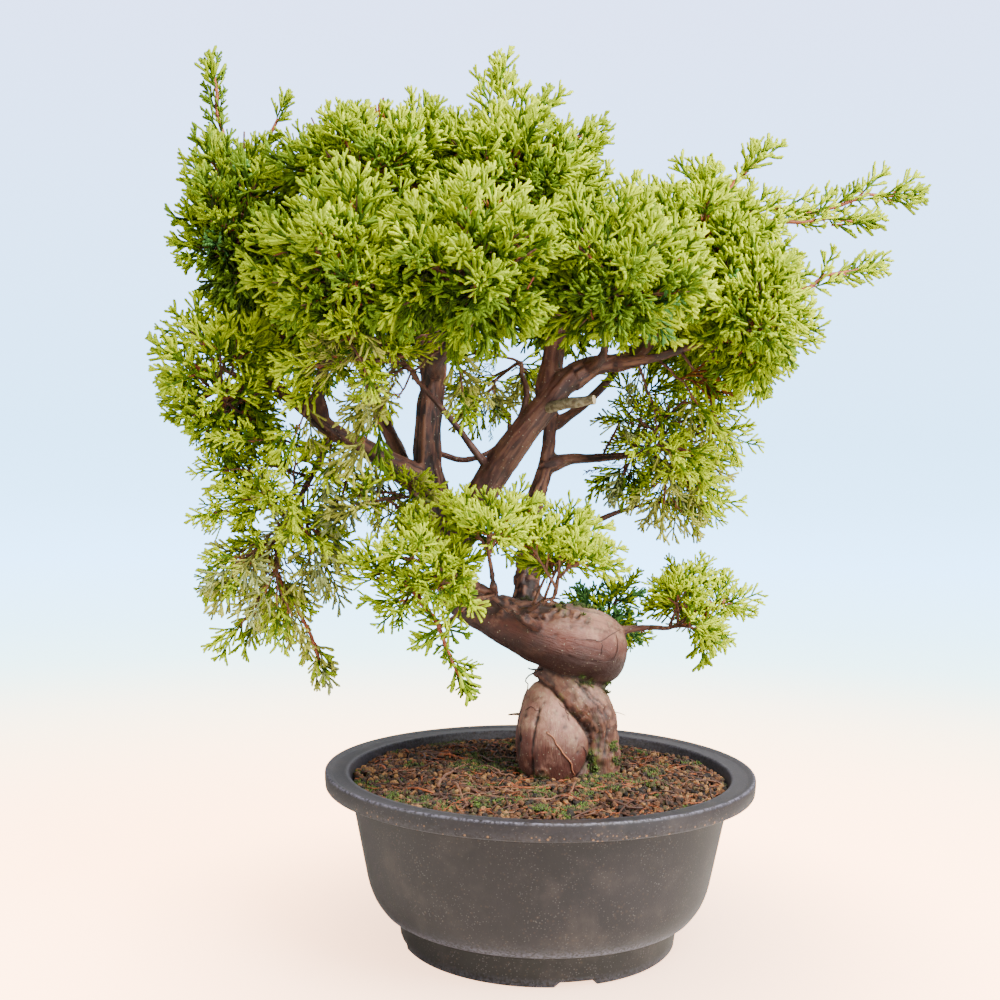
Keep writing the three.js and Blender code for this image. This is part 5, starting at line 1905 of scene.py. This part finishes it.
@dataclass
class TrainingPot:
    """The round plastic pot: a tapering wall, a broad rim, and a foot ring with notches."""

    segments: int = 240
    rim_radius: float = 105.0
    rim_top: float = 83.0
    rim_band: float = 8.0
    rim_inner: float = 93.3
    belly: Pair = (83.6, 31.0)
    foot_radius: float = 67.0
    foot_inner: float = 57.0
    foot_recess: float = 3.5
    floor: float = 6.0
    wall: float = 2.6
    drain: float = 9.0
    notches: int = 4
    notch_width: float = 20.0
    notch_height: float = 2.4
    notch_turn: float = 0.27

    def profile(self) -> tuple[Array, Array, Array]:
        """The turned profile.

        Returns:
            Its places as (radius, height), how near each is to a scuffed edge that also takes a painted
            highlight, and its place on the foot.
        """
        top, band, rim, inner = self.rim_top, self.rim_band, self.rim_radius, self.rim_inner
        ring_inner, ring_outer, recess = self.foot_inner, self.foot_radius, self.foot_recess
        rows = [
            (self.drain, recess, 0, 1), (ring_inner, recess, 0, 1), (ring_inner + 0.3, 0.4, 0, 1),
            (ring_inner + 0.8, 0, 0, 1), (ring_outer - 0.7, 0, 0.2, 1), (ring_outer, 0.7, 0.3, 1),
            (67.6, 5, 0, 1), (68.3, 9.5, 0, 1), (68.8, 12.6, 0, 1), (69.1, 13.7, 0, 1),
            (69.8, 14.3, 0.2, 0.8), (72.5, 15.2, 0.25, 0.3), (75.4, 16.3, 0.4, 0.1),
            (76.6, 17.1, 0.75, 0), (77.6, 18.3, 0.5, 0),
            (79.3, 20.6, 0.12, 0), (80.7, 22.9, 0.05, 0), (82, 25.8, 0, 0), (83, 28.6, 0, 0),
            (83.9, 32, 0, 0), (86.4, 44, 0, 0), (88.9, 56, 0, 0), (91.4, 68, 0, 0), (92.7, 73.2, 0, 0),
            (93.1, 74, 0, 0), (93.9, 74.3, 0, 0), (103.4, 74.8, 0.1, 0), (104.1, 75.1, 0.2, 0),
            (rim - 0.4, top - band + 0.8, 0.12, 0), (rim - 0.05, top - 4, 0.03, 0), (rim, top - 1.3, 0, 0),
            (rim - 0.1, top - 0.7, 0.35, 0), (rim - 0.5, top - 0.15, 1, 0), (rim - 1.0, top, 0.6, 0),
            (rim - 1.7, top - 0.05, 0.05, 0), (rim - 3.2, top - 1, 0.1, 0), (rim - 4, top - 1.25, 0.05, 0),
            (inner + 2.4, top - 1.2, 0.05, 0), (inner + 0.9, top - 1.15, 0.2, 0),
            (inner + 0.2, top - 1.6, 0.3, 0), (inner - 0.2, top - 2.4, 0.15, 0),
            (self.belly[0] - self.wall, self.belly[1], 0, 0),
            (65, self.floor + recess, 0, 0), (self.drain, self.floor + recess, 0, 0),
        ]
        table = np.array(rows, float)
        return table[:, :2], table[:, 2], table[:, 3]

    def build(self) -> None:
        """Makes the pot and puts it on the part."""
        profile, edge, foot = self.profile()
        whole = 2 * np.pi
        angles = ring(self.segments)
        half = math.asin(self.notch_width / 2 / self.foot_radius)
        middles = [(k / self.notches - 0.25) * whole + self.notch_turn for k in range(self.notches)]
        for middle, side, step in product(middles, (-half, half), (-0.0012, 0.0012)):
            near = (middle + side + math.copysign(1, side) * step) % whole
            away = np.abs((angles - near + np.pi) % whole - np.pi)
            angles[np.argmin(away + (angles == near) * 9)] = near
        angles = np.sort(angles)
        rings = len(profile)
        points = np.empty((self.segments, rings, 3))
        points[..., 0] = np.cos(angles)[:, None] * profile[:, 0]
        points[..., 1] = np.sin(angles)[:, None] * profile[:, 0]
        points[..., 2] = profile[:, 1]
        raised = np.where(profile[:, 0] > self.foot_inner - 1, self.notch_height, 0)
        for middle in middles:
            inside = np.abs((angles - middle + np.pi) % whole - np.pi) < half
            points[inside, :, 2] = np.maximum(points[inside, :, 2], raised)
        a = np.arange(self.segments)[:, None] * rings + np.arange(rings)
        b = np.roll(a, -1, axis=0)
        c, d = np.roll(b, -1, axis=1), np.roll(a, -1, axis=1)
        faces = np.stack([[a, b, c], [a, c, d]]).transpose(0, 2, 3, 1).reshape(-1, 3)
        shape = Shape()
        shape.add(points.reshape(-1, 3), faces)
        plastic = PotFinish("pot_plastic", (24, 19, 22), (18, 14, 17), 26.0, 0.6, 0.55, 0.12, 1300.0, 0.35)
        pot = shape.build("training_pot", [plastic.material()])
        ledge = bell(profile[:, 1] - self.rim_top + self.rim_band - 0.4, 0.9) * (profile[:, 0] > 93)
        for name, value in (("edge", edge), ("foot", foot), ("dusty", 0.05 + 0.9 * ledge)):
            store_values(pot.data, name, np.tile(value, self.segments))
        sharpen = pot.data.attributes.new("sharp_face", "BOOLEAN", "FACE")
        flat = np.isin(np.arange(len(faces)) % (len(faces) // 2) % rings, (0, rings - 1, rings - 2))
        sharpen.data.foreach_set("value", flat)
        settle(pot, ["pot"])


def moss_shades() -> list[bpy.types.Material]:
    """The two tints of moss."""
    shades = (("moss_bright", (68, 90, 12), (46, 62, 10)), ("moss_olive", (52, 56, 14), (34, 38, 12)))
    return [Finish(*shade, 800.0).material() for shade in shades]


@dataclass
class SoilBed:
    """The soil: a bed of small stones with litter, rootlets and moss on it."""

    limbs: Limbs
    radius: float = 91.7
    segments: int = 120
    edge: float = 76.8
    level_radius: float = 54.0
    mounds: int = 46
    mound_spread: float = 12.0
    mound_reach: float = 8.0
    mound_height: float = 1.9
    trunk_at: Pair = (16.0, 7.0)
    trunk_radius: float = 26.0
    spacing: float = 2.35
    stone: Pair = (0.8, 1.75)
    # Roots and sticks in plain sight: their places as (x, y), their radius and their tint
    lying = (
        (((17, -19), (16.5, -32), (13, -47), (4.6, -54), (-5, -56), (-13.4, -54.9), (-24, -50.5)), 0.7, 2),
        (((-46.9, -36), (-45.5, -20), (-42, -3), (-35.8, 8.6)), 0.85, 2),
        (((-4.5, -47), (0.9, -33), (10.8, -29.5), (16, -31)), 0.6, 2),
        (((-40, -30), (-36, -48), (-31.8, -63.6)), 0.8, 2),
        (((-35.8, -15), (-31, -28), (-26.4, -37.8)), 0.5, 2),
        (((-68.3, 43.1), (-60, 37), (-50, 30)), 0.9, 1),
        (((-52, 29), (-42, 25), (-33, 22.3)), 0.75, 0),
        (((-80, 8), (-74, -2), (-70, -6)), 0.7, 0),
        (((-62, -38), (-54, -44), (-47, -46)), 0.75, 0),
        (((-36, -42), (-26, -46), (-20, -45)), 0.9, 1),
        (((-14, -33), (-6, -36), (2, -34)), 0.8, 0),
        (((24, -36), (33, -30), (44, -28)), 0.6, 0),
        (((40, -52), (52, -48), (60, -50)), 0.6, 1),
    )

    def height(self, x: Array, y: Array) -> Array:
        """The bed's height at places on it.

        Args:
            x: How far right they are.
            y: How far back they are, of the same shape.

        Returns:
            Their heights.
        """
        away = np.hypot(x, y)
        fall = (away - self.level_radius) / (self.radius - self.level_radius)
        where = np.column_stack([x.ravel(), y.ravel(), np.zeros(x.size)]) / 17
        uneven = layered_noise(where, 97, 3).reshape(x.shape)
        raised = np.zeros(x.shape)
        for k in range(self.mounds):
            reach = self.mound_spread * math.sqrt(k + 0.5)
            at = (reach * math.cos(k * GOLDEN_ANGLE), reach * math.sin(k * GOLDEN_ANGLE))
            if math.dist(at, self.trunk_at) > self.trunk_radius + self.mound_reach:
                gap = np.hypot(x - at[0], y - at[1]) / self.mound_reach
                raised = np.maximum(raised, self.mound_height * np.clip(1 - gap**2, 0, 1) ** 1.5)
        return mix(SOIL_TOP, self.edge, np.clip(fall, 0, 1)) + 0.5 * uneven - 0.6 + raised

    def trunk_gap(self, points: Array) -> Array:
        """How far places are from the trunk's foot."""
        lobe = (norm((points - FRONT_LOBE_AT) / FRONT_LOBE_REACH, axis=1) - 1) * 18
        return np.minimum(self.limbs.nearest(points)[0], lobe)

    def bed(self) -> Shape:
        """The bed under the stones.

        Returns:
            A closed turned solid with an uneven top.
        """
        rows = [(0.0, 9.8), (64.7, 9.8), (80.5, 31.0), (91.3, 75.5)]
        rows += [(r, None) for r in np.linspace(91.3, 0, 46)]
        angles = ring(self.segments)
        points = []
        for r, z in rows:
            x, y = r * np.cos(angles), r * np.sin(angles)
            height = self.height(x, y) - 0.6 if z is None else np.full(self.segments, z)
            points.append(np.column_stack([x, y, height]))
        shape = Shape()
        shape.add(np.concatenate(points), wall_faces(len(rows), self.segments))
        return shape

    def scatter(self, count: int, rng: Dice, margin: float) -> Array:
        """Random places on the bed, clear of the trunk.

        Args:
            count: How many to try.
            rng: Random numbers.
            margin: How clear they are of the trunk and the pot.

        Returns:
            Places of shape (n, 3).
        """
        away = (self.radius - 1 - margin) * np.sqrt(rng.random(count))
        angle = rng.uniform(0, 2 * math.pi, count)
        x, y = away * np.cos(angle), away * np.sin(angle)
        points = np.column_stack([x, y, self.height(x, y)])
        return points[self.trunk_gap(points) > margin]

    def stones(self, rng: Dice) -> Shape:
        """The stones, in five tints dealt out by stone.

        Args:
            rng: Random numbers.

        Returns:
            The stones.
        """
        gold = (1 + math.sqrt(5)) / 2
        pairs = list(product((-1, 1), (-1, 1)))
        corners = [(s, t * gold, 0) for s, t in pairs] + [(0, s, t * gold) for s, t in pairs]
        corners = unit(np.array(corners + [(s * gold, 0, t) for s, t in pairs], float))
        faces = []
        for i, j, k in product(range(12), repeat=3):
            sides = [norm(corners[p] - corners[q]) for p, q in ((i, j), (j, k), (k, i))]
            turn = np.linalg.det(corners[[i, j, k]])
            if i < j and i < k and max(sides) < 1.1 and min(sides) > 0.1 and turn > 0:
                faces.append((i, j, k))
        faces = np.array(faces)
        grid = np.arange(-self.radius, self.radius, self.spacing)
        x, y = (g.ravel() for g in np.meshgrid(grid, grid))
        x = x + rng.uniform(-1, 1, x.size)
        y = y + rng.uniform(-1, 1, y.size)
        low = np.hypot(x, y) < self.radius - 1.6
        bed = np.column_stack([x[low], y[low], self.height(x[low], y[low])])
        top = self.scatter(2600, rng, 0.2)
        top[:, 2] += 1.3
        points = np.concatenate([bed, top])
        points = points[self.trunk_gap(points) > -0.8]
        sizes = rng.uniform(*self.stone, len(points)) * rng.uniform(0.85, 1.15, len(points))
        tints = rng.choice(5, len(points), p=(0.27, 0.24, 0.17, 0.2, 0.12))
        shape = Shape()
        for variant in range(14):
            mine = np.arange(len(points)) % 14 == variant
            form = corners * rng.uniform(0.78, 1.18, (12, 1)) * rng.uniform(0.75, 1.2, 3)
            axes = unit(rng.normal(size=(mine.sum(), 3)))
            frames = turned_frames(axes, rng.uniform(0, 6.3, mine.sum()))
            copies = np.einsum("nij,mj->nmi", frames, form) * sizes[mine][:, None, None]
            shape.add(copies + points[mine][:, None], faces, tints[mine])
        return shape

    def threads(self, count: int, lengths: Pair, girth: Pair, bend: float,
                tint: int, shape: Shape, rng: Dice) -> None:
        """Lays bent threads, such as litter or rootlets, on the bed.

        Args:
            count: How many.
            lengths: Their least and greatest length.
            girth: Their least and greatest radius.
            bend: How much they turn from one end to the other.
            tint: Their material.
            shape: Where they go.
            rng: Random numbers.
        """
        middles = self.scatter(count, rng, 2.0)
        size = len(middles)
        steps = 7
        t = np.linspace(-0.5, 0.5, steps)
        turn = rng.uniform(0, 6.3, size)[:, None] + rng.normal(0, bend, size)[:, None] * t
        turn = turn + rng.normal(0, 0.25 * bend, (size, steps))
        length = rng.uniform(*lengths, size)[:, None]
        x = np.cumsum(np.cos(turn), axis=1) / steps * length
        y = np.cumsum(np.sin(turn), axis=1) / steps * length
        x = middles[:, :1] + x - x.mean(axis=1, keepdims=True)
        y = middles[:, 1:2] + y - y.mean(axis=1, keepdims=True)
        pull = np.minimum(1, (self.radius - 1.5) / np.maximum(np.hypot(x, y), 1))
        x, y = x * pull, y * pull
        lift = rng.uniform(1.3, 2.6, (size, 1)) + rng.uniform(-1, 1, (size, 1)) * t
        z = self.height(x, y) + lift
        radii = rng.uniform(*girth, size)[:, None] * np.linspace(1, 0.6, steps)
        points, faces = tubes(np.stack([x, y, z], axis=-1), radii, 4)
        clear = self.trunk_gap(points.reshape(-1, 3)).reshape(size, -1).min(axis=1) > 0
        shape.add(points[clear], faces, tint)

    def roots(self, shape: Shape) -> None:
        """Lays the few roots and sticks that lie in plain sight on the bed.

        Args:
            shape: Where they go.
        """
        for line, girth, tint in self.lying:
            path = np.array([(x, y, 0.0) for x, y in line])
            t = np.linspace(0, 1, 30)
            places = smooth_line(path, t)
            places[:, :2] += 0.5 * np.column_stack([lattice_noise(places / 3, seed) for seed in (131, 137)])
            lift = 2.1 + 0.5 * lattice_noise(places / 5, 139)
            places[:, 2] = self.height(places[:, 0], places[:, 1]) + lift
            radii = girth * (1 + 0.2 * lattice_noise(places / 1.6, 149)) * mix(1.0, 0.6, t)
            shape.add(*tubes(places[None], radii[None], 6), tint)

    def moss(self, rng: Dice) -> Shape:
        """Cushions of moss: little spikes in patches, two tints dealt out by cushion.

        Args:
            rng: Random numbers.

        Returns:
            The spikes.
        """
        seeds = self.scatter(7500, rng, -0.6)
        patch = layered_noise(np.column_stack([seeds[:, 0], seeds[:, 1], seeds[:, 0] * 0]) / 11, 101, 2)
        near = np.exp(-np.clip(self.trunk_gap(seeds), 0, 99) / 5)
        chosen = seeds[(patch + 0.5 * near + rng.uniform(-0.12, 0.12, len(seeds))) > 0.6]
        chosen[:, 2] += 0.6
        return self.spikes(chosen, np.tile(UP, (len(chosen), 1)), rng, 1.6)

    @staticmethod
    def spikes(at: Array, axes: Array, rng: Dice, spread: float) -> Shape:
        """Tufts of short moss spikes at places, along axes.

        Args:
            at: The places, of shape (n, 3).
            axes: The way each tuft points, of shape (n, 3).
            rng: Random numbers.
            spread: How far a tuft's spikes stand apart.

        Returns:
            The spikes.
        """
        each = 11
        roots = np.repeat(at, each, axis=0) + rng.normal(0, spread * 0.6, (len(at) * each, 3)) * [1, 1, 0.35]
        ways = unit(np.repeat(axes, each, axis=0) + rng.normal(0, 0.5, roots.shape))
        length = rng.uniform(1.2, 2.5, len(roots))[:, None]
        girths = rng.uniform(0.24, 0.42, len(roots))
        points, faces = spindles(roots - ways * 0.4, roots + ways * length, girths)
        shape = Shape()
        shape.add(points, faces, np.repeat(rng.integers(0, 2, len(at)), each))
        return shape

    def build(self) -> None:
        """Makes the soil's pieces and puts them on the part."""
        rng = np.random.default_rng(77)
        bed = Finish("soil_bed", (40, 27, 17), (24, 16, 10), 260.0, 0.5, 0.95, 0.6, 800.0)
        settle(self.bed().build("soil_bed", [bed.material()]), ["soil"])
        tints = (("stone_tan", (88, 54, 27), (66, 39, 20)), ("stone_brown", (56, 32, 17), (38, 22, 12)),
                 ("stone_pale", (126, 90, 50), (98, 66, 36)), ("stone_dark", (26, 17, 10), (18, 12, 8)),
                 ("stone_olive", (66, 55, 28), (44, 37, 20)))
        finishes = [Finish(*tint, 700.0, 0.5, 0.92, 0.5, 1500.0).material() for tint in tints]
        settle(self.stones(rng).build("soil_stones", finishes, smooth=False), ["soil"])
        litter = Shape()
        self.threads(330, (4, 12), (0.22, 0.45), 0.5, 0, litter, rng)
        self.threads(420, (4, 12), (0.25, 0.5), 0.5, 1, litter, rng)
        self.threads(34, (12, 26), (0.5, 0.85), 0.5, 1, litter, rng)
        self.threads(46, (18, 50), (0.25, 0.5), 2.2, 2, litter, rng)
        self.roots(litter)
        tints = (("litter_orange", (128, 62, 18), (88, 38, 13), 500.0),
                 ("litter_brown", (66, 34, 19), (42, 22, 13), 500.0),
                 ("rootlet", (106, 68, 45), (72, 43, 29), 400.0))
        settle(litter.build("soil_litter", [Finish(*tint).material() for tint in tints]), ["soil"])
        settle(self.moss(rng).build("soil_moss", moss_shades()), ["soil"])


@dataclass
class Studio:
    """The stage: a pale floor that fades into a pale background, soft lights and the camera."""

    distance: float = 600.0
    eye_height: float = 219.0
    pitch: float = 0.48
    roll: float = 0.80
    yaw: float = -2.03
    focal_share: float = 1.215
    floor_radius: float = 1900.0
    backdrop: float = 12.0
    ambient: float = 0.42
    floor_rings: int = 24
    floor_sides: int = 96
    # Each light's name, place, aim, side, watts and colour
    lights: tuple = (
        ("key", (560, -600, 1200), (0, 0, 220), 600, 62, (255, 250, 242)),
        ("fill", (900, -700, 450), (0, 0, 220), 900, 28, (250, 251, 255)),
        ("side", (-1000, -500, 400), (0, 0, 180), 900, 14, (255, 251, 246)),
        ("back", (200, 1000, 1000), (0, 0, 260), 900, 8, (250, 252, 255)),
    )

    def camera(self) -> None:
        """Sets the camera at the viewing angle that shows the tree's front."""
        pitch, roll, yaw = (math.radians(a) for a in (self.pitch, self.roll, self.yaw))
        level = math.cos(pitch)
        forward = Vector((math.sin(yaw) * level, math.cos(yaw) * level, -math.sin(pitch)))
        right = Vector((math.cos(yaw), -math.sin(yaw), 0))
        above = right.cross(forward)
        turned_right = math.cos(roll) * right + math.sin(roll) * above
        turned_up = -math.sin(roll) * right + math.cos(roll) * above
        lens = bpy.data.cameras.new("camera")
        lens.sensor_width = 36
        lens.lens = 36 * self.focal_share
        lens.clip_start, lens.clip_end = 0.01, 50
        eye = linked("camera", lens)
        turn = Matrix((turned_right, turned_up, -forward)).transposed()
        eye.matrix_world = Matrix.Translation((0, -self.distance * MM, self.eye_height * MM)) @ turn.to_4x4()
        bpy.context.scene.camera = eye

    def light(self, name: str, at: Place, aim: Place, size: float, power: float, colour: Colour) -> None:
        """Adds a soft square light.

        Args:
            name: Its name.
            at: Where it is.
            aim: What it shines at.
            size: Its side.
            power: Its power in watts.
            colour: Its colour.
        """
        lamp = bpy.data.lights.new(name, "AREA")
        lamp.shape, lamp.size, lamp.energy = "SQUARE", size * MM, power
        lamp.color = rgba(colour)[:3]
        made = linked(name, lamp)
        made.location = Vector(at) * MM
        made.rotation_mode = "QUATERNION"
        made.rotation_quaternion = (Vector(aim) - Vector(at)).to_track_quat("-Z", "Y")

    def floor(self) -> None:
        """Lays the pale floor, which glows to the camera, dimmer near the pot as a painted shadow, and fades
        out at its edge.
        """
        rings, sides = self.floor_rings, self.floor_sides
        radii, angle = np.linspace(0.5, self.floor_radius, rings), ring(sides)
        wide, deep = np.outer(radii, np.cos(angle)), np.outer(radii, np.sin(angle))
        points = np.stack([wide, deep, np.full((rings, sides), -0.15)], -1).reshape(-1, 3)
        shape = Shape()
        shape.add(points, wall_faces(rings, sides)[:, ::-1])
        made = bpy.data.materials.new("floor")
        made.use_nodes = True
        bench = Bench(made.node_tree)
        shader = made.node_tree.nodes["Principled BSDF"]
        shader.inputs["Base Color"].default_value = rgba((248, 236, 222))
        shader.inputs["Roughness"].default_value = 0.9
        away = bench.node("VectorMath", {0: bench.place()}, operation="LENGTH").outputs["Value"]
        # Painted shadow: the floor's glow is dimmer near the pot's foot and brighter further out, a soft
        # pool of shade under the pot.
        near = bench.node("Emission", {"Color": (1.0, 0.6, 0.4, 1.0), "Strength": 6.0})
        far = bench.node("Emission", {"Color": (1.0, 0.53, 0.28, 1.0), "Strength": 18.0})
        spread = bench.mask(away, 0.04, 0.26)
        glow_with_painted_shadow = bench.node("MixShader", {0: spread, 1: near.outputs[0], 2: far.outputs[0]})
        straight = bench.node("LightPath").outputs["Is Camera Ray"]
        share = bench.times(straight, 0.6)
        bright = bench.node("MixShader", {0: share, 1: shader.outputs[0], 2: glow_with_painted_shadow.outputs[0]})
        fade = bench.mask(away, 0.1, 1.1)
        clear = bench.node("BsdfTransparent")
        blend = bench.node("MixShader", {0: fade, 1: bright.outputs[0], 2: clear.outputs[0]})
        made.node_tree.links.new(blend.outputs[0], made.node_tree.nodes["Material Output"].inputs["Surface"])
        shape.build("floor", [made])

    def world(self) -> None:
        """Sets the background: cream below, pale blue above."""
        world = bpy.data.worlds.new("backdrop")
        world.use_nodes = True
        bench = Bench(world.node_tree)
        height = bench.node("SeparateXYZ", {0: bench.node("TexCoord").outputs["Generated"]}).outputs["Z"]
        ramp_node = bench.node("ValToRGB", {"Fac": bench.node("MapRange", {
            "Value": height, "From Min": -0.4, "From Max": 0.5}).outputs["Result"]})
        stops = ((0.0, (1.0, 0.56, 0.36)), (0.13, (1.0, 0.58, 0.38)), (0.18, (0.72, 0.6, 0.43)),
                 (0.222, (0.48, 0.56, 0.43)), (0.271, (0.34, 0.5, 0.48)), (0.325, (0.23, 0.44, 0.58)),
                 (0.38, (0.18, 0.405, 0.7)), (0.435, (0.155, 0.34, 0.56)), (0.49, (0.145, 0.31, 0.5)),
                 (0.84, (0.19, 0.245, 0.4)))
        ramp_node.color_ramp.elements.remove(ramp_node.color_ramp.elements[0])
        for number, (at, colour) in enumerate(stops):
            stop = ramp_node.color_ramp.elements[0] if number == 0 else ramp_node.color_ramp.elements.new(at)
            stop.position = at
            stop.color = (*colour, 1.0)
        seen = bench.node("Background", {"Color": ramp_node.outputs["Color"], "Strength": self.backdrop})
        lit = bench.node("Background", {"Color": rgba((240, 244, 252)), "Strength": self.ambient})
        straight = bench.node("LightPath").outputs["Is Camera Ray"]
        either = bench.node("MixShader", {0: straight, 1: lit.outputs[0], 2: seen.outputs[0]})
        world.node_tree.links.new(either.outputs[0], world.node_tree.nodes["World Output"].inputs["Surface"])
        bpy.context.scene.world = world

    def build(self) -> None:
        """Sets the stage."""
        self.camera()
        self.floor()
        self.world()
        for light in self.lights:
            self.light(*light)


def main() -> None:
    """Builds each sub-assembly in order."""
    logging.basicConfig(level=logging.INFO, format="%(name)s: %(message)s")
    limbs = Limbs()
    TrainingPot().build()
    SoilBed(limbs).build()
    Timber(limbs).build()
    Crown(limbs, SprayForms()).build()
    Studio().build()


if __name__ == "__main__":
    main()
